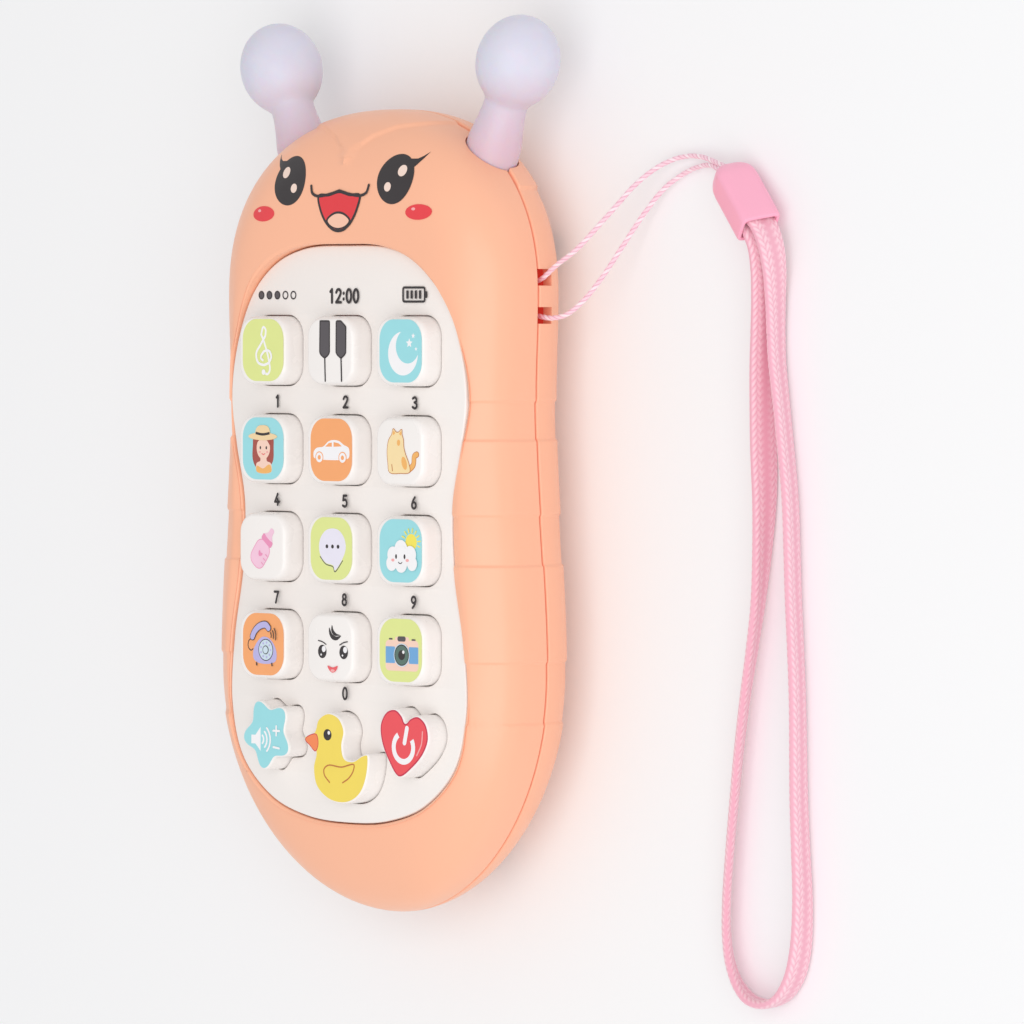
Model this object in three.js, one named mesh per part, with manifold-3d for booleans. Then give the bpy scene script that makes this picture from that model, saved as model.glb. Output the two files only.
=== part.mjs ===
// Toy cell phone with a smiling bug's head: two plastic shells, a keypad panel with fifteen
// sprung keys, two soft antennae, a speaker, a battery bay with its door, and a wrist strap.
// Millimetres. The phone lies on its back: +Z is out of the face, +Y is towards the antennae,
// and the strap is on the +X side. Z = 0 is the flat of the back.
import * as THREE from 'three';
import { mergeVertices } from 'three/addons/utils/BufferGeometryUtils.js';
import Module from 'manifold-3d';

const wasm = await Module();
wasm.setup();

// ---- driving dimensions -------------------------------------------------------------------

const GAP = 0.3; // running and assembly clearance between neighbours
const PARTING_Z = 15.5; // plane where the two shells meet
const WALL = 2;

// Body outline: a round head and a wider, longer belly joined by a slight neck.
const TOP_Y = 68.8;
const HEAD_Y = 33;
const NECK_Y = 14;
const BELLY_Y = -40;
const BOTTOM_Y = -87.1;
const HEAD_HALF = 39.9;
const NECK_HALF = 39.3;
const BELLY_HALF = 42.5;
const TOP_ROUND = 2.2; // superellipse exponents of the outline's two ends
const BOTTOM_ROUND = 1.95;

// Cross-section of each shell: a superellipse, cut flat at its crown.
// The front's crown keeps its height further over the head than the outline keeps its width.
const FRONT = { side: 1, height: 17.3, crown: 15.6, power: 3.4, topRound: 2.6 };
const BACK = { side: -1, height: 17.1, crown: 15.5, power: 2.34, topRound: TOP_ROUND };

const PANEL_TOP = 29;
const PANEL_BOTTOM = 27;
const PANEL_LEDGE = 1.5; // how far the front shell reaches under the panel
const COLLAR = 2.3; // wall around the panel's seat
// Right half of the keypad panel's outline, from its top to its bottom.
const PANEL_HALF = [
  [0, 42.7], [12, 42.2], [20.5, 39.4], [27, 34], [31.6, 25], [33.7, 14], [32.4, 4], [30, -7],
  [30.4, -20], [33, -34], [33.7, -47], [30.5, -57.5], [22, -65], [11.5, -68.4], [0, -69.2],
];

const BOARD_BOTTOM = 20.1;
const BOARD_TOP = 21.7;
const MAT_BOTTOM = 22;
const MAT_TOP = 23.2;
const MAT_PAD_TOP = 23.4;

const KEY_TOP = 33.5;
const KEY_TRAVEL = 1.2;
const KEY_BOTTOM = MAT_PAD_TOP + GAP + KEY_TRAVEL;
const KEY_FLANGE = 0.9;
const KEY_CHAMFER = 0.8;
const KEY_SIZE = 13.6;
const KEY_CORNER = 4;
const KEY_COLUMN = 19.8;
const KEY_ROWS = [22.3, 3.1, -16, -35.1];
const KEY_NAMES = [
  ['key_music', 'key_piano', 'key_moon'],
  ['key_girl', 'key_car', 'key_cat'],
  ['key_bottle', 'key_chat', 'key_cloud'],
  ['key_telephone', 'key_boy', 'key_camera'],
];
const STAR_KEY = { x: -18.2, y: -52.5, tip: 7.1, valley: 5.1, turn: 44 };
const DUCK_KEY = { x: 1.5, y: -56.3 };
const HEART_KEY = { x: 20.9, y: -53, turn: -10 };

const BATTERY_RADIUS = 7.25;
const BATTERY_LENGTH = 50.5;
const BATTERY_X = 7.6;
const BATTERY_Z = 9.75;
const BAY = { half: 15.6, low: -40.6, high: 17.6, top: 17.5, wall: 1.5 };
const DOOR = { half: 17.3, low: -51.6, high: 20.3, bottom: 0.4, top: 1.9 };
const DOOR_SCREW_Y = -46.7;

const SPEAKER_Y = 38.5;
const SPEAKER_RADIUS = 11.5;
const LEAD_RADIUS = 0.5;

const CASE_SCREWS = [[-27, 42], [27, 42], [-13, -76], [13, -76]];
const CASE_SCREW_LEDGE = 9.5;
const BOARD_SCREWS = [[-32.4, 14], [32.4, 14], [-32.4, -46], [32.4, -46]];

// Antenna: the mouth of its hole is on the parting plane, and it leans outwards.
const ANTENNA = { x: 26.9, y: 61, lean: 22.9, radius: 5.3, neck: 4.2, ball: 8.1, tall: 9.2 };
const ANTENNA_LENGTH = 27.4; // from the mouth to the end of the ball
const ANTENNA_SPLIT = [1.6, 3.2]; // the fixed root ends and the flexing stem starts here

const STRAP_SLOTS = [36.5, 29.2];
const STRAP_SLOT = { wide: 3.2, bottom: 11.7, inside: 34 };

// The cord's two legs, from inside their slots to the clasp.
const CORD_RADIUS = 0.5;
const UPPER_CORD = [
  [36.4, 35.6, 13.5], [38.6, 36.3, 13.5], [42.1, 38.7, 13.2], [46.9, 41.9, 12.2],
  [50.2, 45.9, 10.2], [53, 50, 7.8], [55.7, 54, 5.4], [58.9, 57.2, 3.4], [62.4, 59.2, 2],
  [66.2, 60.1, 1.5], [70.5, 60.4, 2.2], [74.5, 60.3, 3.2], [77.6, 59.8, 3.9],
  [79.7, 58.6, 4.1], [81.3, 56.8, 4.2],
];
const LOWER_CORD = [
  [36.4, 29.3, 13.4], [38.8, 28.9, 13.5], [41.3, 28.7, 13.4], [44.3, 29.3, 12.7],
  [47.3, 31.8, 11.2], [50, 36.2, 8.8], [52.9, 42.3, 6], [56.2, 48.4, 3.6],
  [60.3, 53.4, 2], [65.1, 56.6, 1.2], [70.4, 58.4, 1.9], [74, 58.7, 3], [76.7, 58.4, 3.9],
  [78.6, 57.5, 4.1], [80.2, 55.9, 4.2],
];

// The wrist strap: out of the clasp, down the left leg, round the bend and back up the right.
const STRAP = { wide: 6, thick: 1.8 };
const STRAP_ROUTE = [
  [89, 44.7, 5.7], [90, 42, 5.4], [90, 38, 4.7], [89.1, 32, 3.7], [88.2, 23, 3.2],
  [88.1, 9, 3.2], [88.4, -5.5, 3.2], [87.9, -15, 3.2], [86.8, -24.5, 3.2], [85, -34, 3.2],
  [83, -43.5, 3.2], [81.4, -53, 3.2], [80.1, -62.5, 3.2], [78.9, -72, 3.2], [78, -81.5, 3.2],
  [78.1, -88, 3.2], [79.2, -93.3, 3.2], [81.6, -97.3, 3.2], [85, -99.8, 3.2],
  [89.2, -100.4, 3.2], [93.2, -99, 3.2], [96.3, -95.3, 3.2], [98, -90, 3.2], [98.6, -81, 3.2],
  [98.1, -71, 3.2], [97.6, -61.5, 3.2], [97.4, -52, 3.2], [97.2, -43, 3.2],
  [96.7, -33.5, 3.2], [96.1, -24, 3.2], [95.7, -14.5, 3.2], [95.2, -5, 3.2], [93.4, 9, 3.2],
  [91.6, 23, 3.2], [91.8, 32, 3.7], [92.5, 38, 4.7], [92.2, 42.5, 5.4], [90.7, 46.1, 5.7],
];

// The clasp rests on one edge, its mouth turned up a little by the strap's stiffness.
const CLASP = { x: 85.3, y: 50.9, z: 5, heading: -50, rise: 6, roll: 22 };
const CLASP_SIZE = { long: 13.6, wide: 8, thick: 6.6, edge: 1.1, face: 0.86 };
const CLASP_MOUTH = { wide: 6.6, thick: 4.8, deep: 8.5 };
const CLASP_CORD_WAY = { wide: 1.8, thick: 3.2 };

const COLOURS = {
  peach: 0xffbe9d, ivory: 0xf3eeeb, silicone: 0xd9d9e6, board: 0x2f6b45, rubber: 0x8d9094,
  steel: 0xb9bcc2, black: 0x2a2a2c, battery: 0x6f8f5a, brass: 0xc9a85a, paper: 0x4a4644,
  pink: 0xfeacc5, strap: 0xfcc6d2, red: 0xb52f2c,
};

// ---- small tools --------------------------------------------------------------------------

const degrees = (angle) => angle * Math.PI / 180;

// A closed geometry as a solid that can be joined and cut.
function solid(geometry) {
  const bare = new THREE.BufferGeometry();
  bare.setAttribute('position', geometry.getAttribute('position'));
  bare.setIndex(geometry.getIndex());
  const merged = mergeVertices(bare, 1e-4);
  const corners = Array.from(merged.index.array);
  const kept = [];
  for (let i = 0; i < corners.length; i += 3) {
    const [a, b, c] = corners.slice(i, i + 3);
    if (a !== b && b !== c && c !== a) kept.push(a, b, c);
  }
  return new wasm.Manifold(new wasm.Mesh({
    numProp: 3,
    vertProperties: Float32Array.from(merged.getAttribute('position').array),
    triVerts: Uint32Array.from(kept),
  }));
}

function geometryOf(body) {
  const mesh = body.getMesh();
  const geometry = new THREE.BufferGeometry();
  geometry.setAttribute('position', new THREE.BufferAttribute(mesh.vertProperties, 3));
  geometry.setIndex(new THREE.BufferAttribute(mesh.triVerts, 1));
  geometry.computeVertexNormals();
  return geometry;
}

function box(x0, x1, y0, y1, z0, z1) {
  const geometry = new THREE.BoxGeometry(x1 - x0, y1 - y0, z1 - z0);
  return solid(geometry.translate((x0 + x1) / 2, (y0 + y1) / 2, (z0 + z1) / 2));
}

// Turns a profile of [radius, height] points about the Z axis at x, y.
function turned(profile, x = 0, y = 0, segments = 16) {
  const points = profile.map(([radius, height]) => new THREE.Vector2(radius, height));
  const geometry = new THREE.LatheGeometry(points, segments);
  return solid(geometry.rotateX(Math.PI / 2).translate(x, y, 0));
}

function rod(radius, z0, z1, x = 0, y = 0, segments = 16) {
  return turned([[0, z0], [radius, z0], [radius, z1], [0, z1]], x, y, segments);
}

function prism(outline, z0, z1, holes = []) {
  const shape = new THREE.Shape(outline.map(([x, y]) => new THREE.Vector2(x, y)));
  for (const hole of holes) {
    shape.holes.push(new THREE.Path(hole.map(([x, y]) => new THREE.Vector2(x, y))));
  }
  const geometry = new THREE.ExtrudeGeometry(shape, { depth: z1 - z0, bevelEnabled: false });
  return solid(geometry.translate(0, 0, z0));
}

// A closed body through a stack of outlines, each [points, z], all with the same count.
function stack(rings) {
  const count = rings[0][0].length;
  const positions = rings.flatMap(([outline, z]) => outline.flatMap(([x, y]) => [x, y, z]));
  const index = [];
  for (let ring = 0; ring + 1 < rings.length; ring++) {
    for (let i = 0; i < count; i++) {
      const a = ring * count + i;
      const b = ring * count + (i + 1) % count;
      index.push(a, b, b + count, a, b + count, a + count);
    }
  }
  const last = (rings.length - 1) * count;
  const flat = (outline) => outline.map(([x, y]) => new THREE.Vector2(x, y));
  for (const [a, b, c] of THREE.ShapeUtils.triangulateShape(flat(rings[0][0]), [])) {
    index.push(c, b, a);
  }
  for (const [a, b, c] of THREE.ShapeUtils.triangulateShape(flat(rings.at(-1)[0]), [])) {
    index.push(last + a, last + b, last + c);
  }
  const geometry = new THREE.BufferGeometry();
  geometry.setAttribute('position', new THREE.Float32BufferAttribute(positions, 3));
  geometry.setIndex(index);
  return solid(geometry);
}

// A closed smooth outline through its points, counter-clockwise.
function smoothOutline(points, count) {
  const curve = new THREE.CatmullRomCurve3(points.map(([x, y]) => new THREE.Vector3(x, y, 0)), true);
  return curve.getPoints(count).slice(0, count).map(({ x, y }) => [x, y]);
}

function mirroredOutline(half, count) {
  const left = half.slice(1, -1).map(([x, y]) => [-x, y]);
  return smoothOutline([...left, half.at(-1), ...half.slice(1, -1).reverse(), half[0]], count);
}

// Moves every point of a counter-clockwise outline outwards by a distance.
function grown(outline, distance) {
  const count = outline.length;
  return outline.map(([x, y], i) => {
    const [beforeX, beforeY] = outline[(i + count - 1) % count];
    const [afterX, afterY] = outline[(i + 1) % count];
    const length = Math.hypot(afterX - beforeX, afterY - beforeY);
    const outX = (afterY - beforeY) / length;
    const outY = (beforeX - afterX) / length;
    return [x + outX * distance, y + outY * distance];
  });
}

// A section swept along a smooth route, closed at both ends.
function swept(section, route, steps) {
  const path = new THREE.CatmullRomCurve3(route.map((point) => new THREE.Vector3(...point)));
  const shape = new THREE.Shape(section.map(([x, y]) => new THREE.Vector2(x, y)));
  return new THREE.ExtrudeGeometry(shape, { steps, extrudePath: path, bevelEnabled: false });
}

function circle(radius, sides) {
  const corner = (i) => degrees(360 * (i + 0.5) / sides);
  return Array.from({ length: sides }, (_, i) => [
    radius * Math.cos(corner(i)), radius * Math.sin(corner(i)),
  ]);
}

// ---- the body's form ----------------------------------------------------------------------

const roundedEnd = (t, power) => Math.max(0, 1 - t ** power) ** (1 / power);
const easeBetween = (t) => t * t * (3 - 2 * t);

// How far the section has grown, from 0 at either end of the body to 1 between them.
function fullness(y, inset, topRound) {
  if (y > HEAD_Y) return roundedEnd((y - HEAD_Y) / (TOP_Y - inset - HEAD_Y), topRound);
  if (y < BELLY_Y) return roundedEnd((BELLY_Y - y) / (BELLY_Y - BOTTOM_Y - inset), BOTTOM_ROUND);
  return 1;
}

function sideProfile(y) {
  if (y >= HEAD_Y) return HEAD_HALF;
  if (y <= BELLY_Y) return BELLY_HALF;
  if (y > NECK_Y) {
    return NECK_HALF + (HEAD_HALF - NECK_HALF) * easeBetween((y - NECK_Y) / (HEAD_Y - NECK_Y));
  }
  return NECK_HALF + (BELLY_HALF - NECK_HALF) * easeBetween((NECK_Y - y) / (NECK_Y - BELLY_Y));
}

// Where the body is cut across, closer together towards its rounded ends.
function stations(inset, endSteps, middleSteps) {
  const list = [];
  const bottomReach = BELLY_Y - BOTTOM_Y - inset;
  const topReach = TOP_Y - inset - HEAD_Y;
  for (let i = 1; i < endSteps; i++) {
    list.push(BELLY_Y - bottomReach * Math.cos(degrees(90 * i / endSteps)));
  }
  for (let i = 0; i <= middleSteps; i++) {
    list.push(BELLY_Y + (HEAD_Y - BELLY_Y) * i / middleSteps);
  }
  for (let i = 1; i < endSteps; i++) {
    list.push(HEAD_Y + topReach * Math.sin(degrees(90 * i / endSteps)));
  }
  return list;
}

// One half of the body, front or back, as a full solid, drawn in from its skin by inset.
function halfBody(form, inset, endSteps, middleSteps, arcSteps) {
  const cuts = stations(inset, endSteps, middleSteps);
  const positions = [0, BOTTOM_Y + inset, PARTING_Z];
  for (const y of cuts) {
    const half = (sideProfile(y) - inset) * fullness(y, inset, TOP_ROUND);
    const height = (form.height - inset) * fullness(y, inset, form.topRound);
    for (let j = 0; j <= arcSteps; j++) {
      const angle = Math.PI * j / arcSteps;
      const across = Math.sign(Math.cos(angle)) * Math.abs(Math.cos(angle)) ** (2 / form.power);
      const up = Math.max(0, Math.sin(angle)) ** (2 / form.power);
      const rise = Math.min(height * up, form.crown - inset);
      positions.push(half * across, y, PARTING_Z + form.side * (j % arcSteps ? rise : 0));
    }
  }
  const top = positions.length / 3;
  positions.push(0, TOP_Y - inset, PARTING_Z);

  const index = [];
  const face = (a, b, c) => (form.side > 0 ? index.push(a, b, c) : index.push(a, c, b));
  const at = (cut, j) => 1 + cut * (arcSteps + 1) + j;
  const lastCut = cuts.length - 1;
  for (let j = 0; j < arcSteps; j++) {
    face(0, at(0, j), at(0, j + 1));
    face(top, at(lastCut, j + 1), at(lastCut, j));
  }
  face(0, at(0, arcSteps), at(0, 0));
  face(top, at(lastCut, 0), at(lastCut, arcSteps));
  for (let cut = 0; cut < lastCut; cut++) {
    for (let j = 0; j < arcSteps; j++) {
      face(at(cut, j), at(cut + 1, j), at(cut + 1, j + 1));
      face(at(cut, j), at(cut + 1, j + 1), at(cut, j + 1));
    }
    face(at(cut, 0), at(cut, arcSteps), at(cut + 1, arcSteps));
    face(at(cut, 0), at(cut + 1, arcSteps), at(cut + 1, 0));
  }
  const geometry = new THREE.BufferGeometry();
  geometry.setAttribute('position', new THREE.Float32BufferAttribute(positions, 3));
  geometry.setIndex(index);
  return solid(geometry);
}

// A round cut along an antenna's axis, from one distance to another past its mouth.
function antennaBore(side, radius, from, to) {
  const geometry = new THREE.CylinderGeometry(radius, radius, to - from, 16);
  geometry.translate(0, (from + to) / 2, 0).rotateZ(-side * degrees(ANTENNA.lean));
  return solid(geometry.translate(side * ANTENNA.x, ANTENNA.y, PARTING_Z));
}

function openAntennaHoles(shell) {
  const reach = 6;
  const bored = shell.subtract(antennaBore(1, ANTENNA.radius + GAP, -reach, reach));
  return bored.subtract(antennaBore(-1, ANTENNA.radius + GAP, -reach, reach));
}

// ---- housing ------------------------------------------------------------------------------

const panelOutline = mirroredOutline(PANEL_HALF, 44);
const FAR = 60; // beyond every face of the body

function frontShell() {
  const skin = halfBody(FRONT, 0, 7, 6, 14);
  const seat = PANEL_BOTTOM - GAP;
  const collarBottom = seat - WALL;
  let shell = skin.subtract(halfBody(FRONT, WALL, 6, 5, 12));
  shell = shell.add(prism(grown(panelOutline, COLLAR), collarBottom, FAR).intersect(skin));
  for (const [x, y] of CASE_SCREWS) {
    shell = shell.add(rod(3, PARTING_Z, FAR, x, y, 12).intersect(skin));
  }
  for (const [x, y] of BOARD_SCREWS) {
    shell = shell.add(rod(2.2, BOARD_TOP + GAP, seat - 1, x, y, 10).intersect(skin));
  }
  shell = shell.subtract(prism(grown(panelOutline, GAP), seat, FAR));
  shell = shell.subtract(prism(grown(panelOutline, -PANEL_LEDGE), 0, FAR));
  for (const [x, y] of CASE_SCREWS) shell = shell.subtract(rod(1.6, 0, 24, x, y, 10));
  for (const [x, y] of BOARD_SCREWS) shell = shell.subtract(rod(1.2, 0, 25.6, x, y, 8));
  shell = openAntennaHoles(shell);
  return shell.subtract(box(-FAR, FAR, -2 * FAR, 2 * FAR, 0, PARTING_Z + GAP / 2));
}

function backShell() {
  const skin = halfBody(BACK, 0, 7, 6, 14);
  let shell = skin.subtract(halfBody(BACK, WALL, 6, 5, 12));
  const rimTop = 4;
  const ledge = 2;
  const rim = DOOR.half + ledge;
  shell = shell.add(box(-rim, rim, DOOR.low - ledge, DOOR.high + ledge, 0, rimTop).intersect(skin));
  for (const [x, y] of CASE_SCREWS) {
    shell = shell.add(rod(4.2, 0, PARTING_Z, x, y, 12).intersect(skin));
  }
  shell = shell.add(rod(SPEAKER_RADIUS + WALL, 0, 6, 0, SPEAKER_Y, 20).intersect(skin));
  shell = shell.subtract(rod(SPEAKER_RADIUS + 2 * GAP, 2.2, 6.5, 0, SPEAKER_Y, 20));
  shell = shell.subtract(box(-FAR, FAR, -2 * FAR, 2 * FAR, PARTING_Z - GAP / 2, FAR));
  shell = openAntennaHoles(shell);

  // Battery bay with a closed roof, and the seat of its door.
  const { half, low, high, top, wall } = BAY;
  shell = shell.add(box(-half - wall, half + wall, low - wall, high + wall, 1, top + wall));
  shell = shell.add(rod(6, 0, 12, 0, DOOR_SCREW_Y, 16).intersect(skin));
  shell = shell.subtract(box(-half, half, low, high, -1, top));
  shell = shell.subtract(box(
    -DOOR.half - GAP, DOOR.half + GAP, DOOR.low - GAP, DOOR.high + GAP, -1, DOOR.top + GAP,
  ));
  shell = shell.subtract(rod(4.3, -1, 5.3, 0, DOOR_SCREW_Y, 16));
  shell = shell.subtract(rod(1.6, -1, 11.2, 0, DOOR_SCREW_Y, 10));

  for (const [x, y] of CASE_SCREWS) {
    shell = shell.subtract(rod(3.2, -1, CASE_SCREW_LEDGE, x, y, 12));
    shell = shell.subtract(rod(1.6, -1, FAR, x, y, 10));
  }
  for (const y of STRAP_SLOTS) {
    const reach = STRAP_SLOT.wide / 2;
    shell = shell.subtract(box(STRAP_SLOT.inside, FAR, y - reach, y + reach, STRAP_SLOT.bottom, FAR));
  }
  return shell.subtract(speakerGrille());
}

// Five slots through the back, longest in the middle.
function speakerGrille() {
  const pitch = 3.6;
  const width = 1.8;
  const reach = 9;
  let slots = null;
  for (let row = -2; row <= 2; row++) {
    const y = SPEAKER_Y + row * pitch;
    const half = Math.sqrt(reach ** 2 - (row * pitch) ** 2);
    const slot = box(-half, half, y - width / 2, y + width / 2, -1, 3);
    slots = slots ? slots.add(slot) : slot;
  }
  return slots;
}

function batteryDoor() {
  const plate = box(-DOOR.half, DOOR.half, DOOR.low, DOOR.high, DOOR.bottom, DOOR.top);
  const well = rod(4, DOOR.bottom, 5, 0, DOOR_SCREW_Y, 16);
  const countersink = rod(3, -1, 3.2, 0, DOOR_SCREW_Y, 12);
  return plate.add(well).subtract(countersink).subtract(rod(1.7, -1, 6, 0, DOOR_SCREW_Y, 10));
}

// A pan-head screw, head down, with the top of its head at z = 0.
function screw(headRadius, headHeight, shankRadius, shankLength) {
  return turned([
    [0, -headHeight], [headRadius * 0.8, -headHeight], [headRadius, -headHeight * 0.6],
    [headRadius, 0], [shankRadius, 0], [shankRadius, shankLength], [0, shankLength + 0.4],
  ], 0, 0, 10);
}

// ---- keypad -------------------------------------------------------------------------------

function roundedSquare(size, corner) {
  const middle = size / 2 - corner;
  const points = [];
  for (let quarter = 0; quarter < 4; quarter++) {
    for (let step = 0; step <= 2; step++) {
      const angle = degrees(quarter * 90 + step * 45);
      const sideX = quarter === 0 || quarter === 3 ? 1 : -1;
      const sideY = quarter < 2 ? 1 : -1;
      points.push([
        sideX * middle + corner * Math.cos(angle), sideY * middle + corner * Math.sin(angle),
      ]);
    }
  }
  return points;
}

function turnedOutline(outline, angle) {
  const cos = Math.cos(degrees(angle));
  const sin = Math.sin(degrees(angle));
  return outline.map(([x, y]) => [x * cos - y * sin, x * sin + y * cos]);
}

// A soft five-pointed star, its points and valleys rounded into one wave.
function starOutline(count) {
  const middle = (STAR_KEY.tip + STAR_KEY.valley) / 2;
  const wave = (STAR_KEY.tip - STAR_KEY.valley) / 2;
  return Array.from({ length: count }, (_, i) => {
    const angle = degrees(360 * i / count);
    const radius = middle + wave * Math.cos(5 * (angle - degrees(STAR_KEY.turn)));
    return [radius * Math.cos(angle), radius * Math.sin(angle)];
  });
}

// Both lobes of the heart from its point up, right half first.
function heartOutline(count) {
  const half = [[3.7, -3.9], [6.3, -0.4], [6.9, 2.6], [5.6, 5.3], [3.2, 6.3], [1.1, 5.4]];
  const left = half.map(([x, y]) => [-x, y]).reverse();
  const outline = smoothOutline([[0, -6.6], ...half, [0, 4.3], ...left], count);
  return turnedOutline(outline, HEART_KEY.turn);
}

// Round the duck from its tail over its head and beak to its breast.
function duckOutline(count) {
  return smoothOutline([
    [9.4, 0.9], [7.9, 0.8], [5.2, -0.4], [2.8, 0], [2.1, 2.2], [2.7, 5.2], [1.2, 7.7], [-2, 8.6],
    [-4.9, 7.2], [-6, 4.8], [-8.9, 3.6], [-7.6, 2], [-5.6, 0.9], [-6.3, -2.2], [-5.4, -5.8],
    [-1.6, -8.4], [3.7, -8.7], [7.3, -6.8], [9.2, -3.2],
  ], count);
}

const scaled = (outline, by) => outline.map(([x, y]) => [x * by, y * by]);

// Every key: its place and its outline, grown by a distance.
function keyTable() {
  const keys = [];
  KEY_NAMES.forEach((names, row) => names.forEach((name, column) => keys.push({
    name,
    x: (column - 1) * KEY_COLUMN,
    y: KEY_ROWS[row],
    outline: (grow) => roundedSquare(KEY_SIZE + 2 * grow, KEY_CORNER + grow),
  })));
  const shaped = [
    ['key_star', STAR_KEY, starOutline(20)],
    ['key_duck', DUCK_KEY, duckOutline(26)],
    ['key_heart', HEART_KEY, heartOutline(20)],
  ];
  for (const [name, { x, y }, outline] of shaped) {
    keys.push({ name, x, y, outline: (grow) => grown(outline, grow) });
  }
  return keys;
}

const KEYS = keyTable();

// A key cap with z = 0 at its top, and the flange that keeps it under the panel.
function keyCap({ outline }) {
  const flangeTop = PANEL_BOTTOM - GAP - KEY_TOP;
  return stack([
    [outline(KEY_FLANGE), KEY_BOTTOM - KEY_TOP],
    [outline(KEY_FLANGE), flangeTop],
    [outline(0), flangeTop],
    [outline(0), -KEY_CHAMFER],
    [outline(-KEY_CHAMFER), 0],
  ]);
}

function keypadPanel() {
  const holes = KEYS.map(({ x, y, outline }) => (
    outline(GAP * 1.2).map(([holeX, holeY]) => [holeX + x, holeY + y])
  ));
  return prism(panelOutline, PANEL_BOTTOM, PANEL_TOP, holes);
}

// The rubber mat with a raised pad under each key; the key stops just short of its pad.
function keyMat() {
  const pad = 4.5;
  let mat = box(-27.8, 27.8, -66, 31.5, MAT_BOTTOM, MAT_TOP);
  for (const { x, y } of KEYS) {
    mat = mat.add(box(x - pad, x + pad, y - pad, y + pad, MAT_TOP - 0.5, MAT_PAD_TOP));
  }
  return mat;
}

function circuitBoard() {
  let board = box(-29, 29, -64.5, 31, BOARD_BOTTOM, BOARD_TOP);
  for (const [, y] of BOARD_SCREWS.slice(1, 3)) {
    board = board.add(box(-34.8, 34.8, y - 3.2, y + 3.2, BOARD_BOTTOM, BOARD_TOP));
  }
  for (const [x, y] of BOARD_SCREWS) {
    board = board.subtract(rod(1.3, 0, FAR, x, y, 8));
  }
  return board;
}

// ---- batteries and contacts ---------------------------------------------------------------

// A cell standing on z = 0 with its nub up.
function cell() {
  const nub = 1;
  const shoulder = BATTERY_LENGTH - nub;
  return turned([
    [0, 0], [BATTERY_RADIUS - 0.5, 0], [BATTERY_RADIUS, 0.5], [BATTERY_RADIUS, shoulder - 0.5],
    [BATTERY_RADIUS - 0.5, shoulder], [2.6, shoulder], [2.6, BATTERY_LENGTH],
    [0, BATTERY_LENGTH],
  ], 0, 0, 18);
}

// A tapering contact spring that stands on z = 0.
function contactSpring(length) {
  const turns = 3;
  const perTurn = 9;
  const wire = 0.35;
  const route = [];
  for (let i = 0; i <= turns * perTurn; i++) {
    const t = i / (turns * perTurn);
    const radius = 4.2 - 1.6 * t;
    const angle = degrees(360 * turns * t);
    const height = wire + (length - 2 * wire) * t;
    route.push([radius * Math.cos(angle), radius * Math.sin(angle), height]);
  }
  return swept(circle(wire, 4), route, turns * perTurn);
}

// ---- speaker ------------------------------------------------------------------------------

function speakerBasket() {
  const rim = SPEAKER_RADIUS;
  return turned([
    [0, 5.4], [5, 5.4], [rim - 1.5, 3.6], [rim - 1.5, 2.8], [rim, 2.8], [rim, 4], [6.5, 6.4],
    [6.5, 9], [0, 9],
  ], 0, SPEAKER_Y, 20);
}

function speakerCone() {
  return turned([
    [0, 4.7], [4.4, 4.7], [9.4, 2.9], [9.6, 3.3], [4.8, 5.1], [0, 5.1],
  ], 0, SPEAKER_Y, 20);
}

// ---- antennae -----------------------------------------------------------------------------

// Both pieces stand on the mouth of the hole, along +Y.
function antennaRoot() {
  const { radius } = ANTENNA;
  const points = [
    [0, -6.8], [5.9, -6.8], [5.9, -5.4], [4.6, -5.4], [4.6, -3.6], [radius, -2.6],
    [radius, ANTENNA_SPLIT[0]],
    [0, ANTENNA_SPLIT[0]],
  ];
  return new THREE.LatheGeometry(points.map(([r, y]) => new THREE.Vector2(r, y)), 14);
}

function antennaStem() {
  const { radius, neck, ball, tall } = ANTENNA;
  const centre = ANTENNA_LENGTH - tall;
  const start = ANTENNA_SPLIT[1];
  const points = [[0, start], [radius, start], [4.6, start + 2.4], [neck, 9.4]];
  for (let angle = -60; angle <= 90; angle += 25) {
    const radial = angle === 90 ? 0 : ball * Math.cos(degrees(angle));
    points.push([radial, centre + tall * Math.sin(degrees(angle))]);
  }
  return new THREE.LatheGeometry(points.map(([r, y]) => new THREE.Vector2(r, y)), 14);
}

// ---- strap --------------------------------------------------------------------------------

// The clasp along +X, mouth at +X: a rounded block, hollow for the strap and bored for the cord.
// Its two broad faces are smaller than its middle, which slopes its edges.
function claspBlock() {
  const { long, wide, thick, edge, face } = CLASP_SIZE;
  const end = long / 2;
  const side = wide / 2;
  const roundedBack = [[3.1 - end, side], [0.5 - end, side * 0.72], [-end, side * 0.4]];
  const outline = [
    [end, -side], [end, side], ...roundedBack,
    ...roundedBack.map(([x, y]) => [x, -y]).reverse(),
  ];
  const block = stack([
    [scaled(outline, face), -thick / 2],
    [outline, edge - thick / 2],
    [outline, thick / 2 - edge],
    [scaled(outline, face), thick / 2],
  ]);
  // The mouth's end is cut square, past the slope of the edges.
  const mouthX = end * face;
  const square = box(-FAR, mouthX, -FAR, FAR, -FAR, FAR);
  const mouth = box(
    mouthX - CLASP_MOUTH.deep, FAR, -CLASP_MOUTH.wide / 2, CLASP_MOUTH.wide / 2,
    -CLASP_MOUTH.thick / 2, CLASP_MOUTH.thick / 2,
  );
  const cordWay = box(
    -FAR, 0, -CLASP_CORD_WAY.wide / 2, CLASP_CORD_WAY.wide / 2,
    -CLASP_CORD_WAY.thick / 2, CLASP_CORD_WAY.thick / 2,
  );
  return block.intersect(square).subtract(mouth).subtract(cordWay);
}

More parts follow.
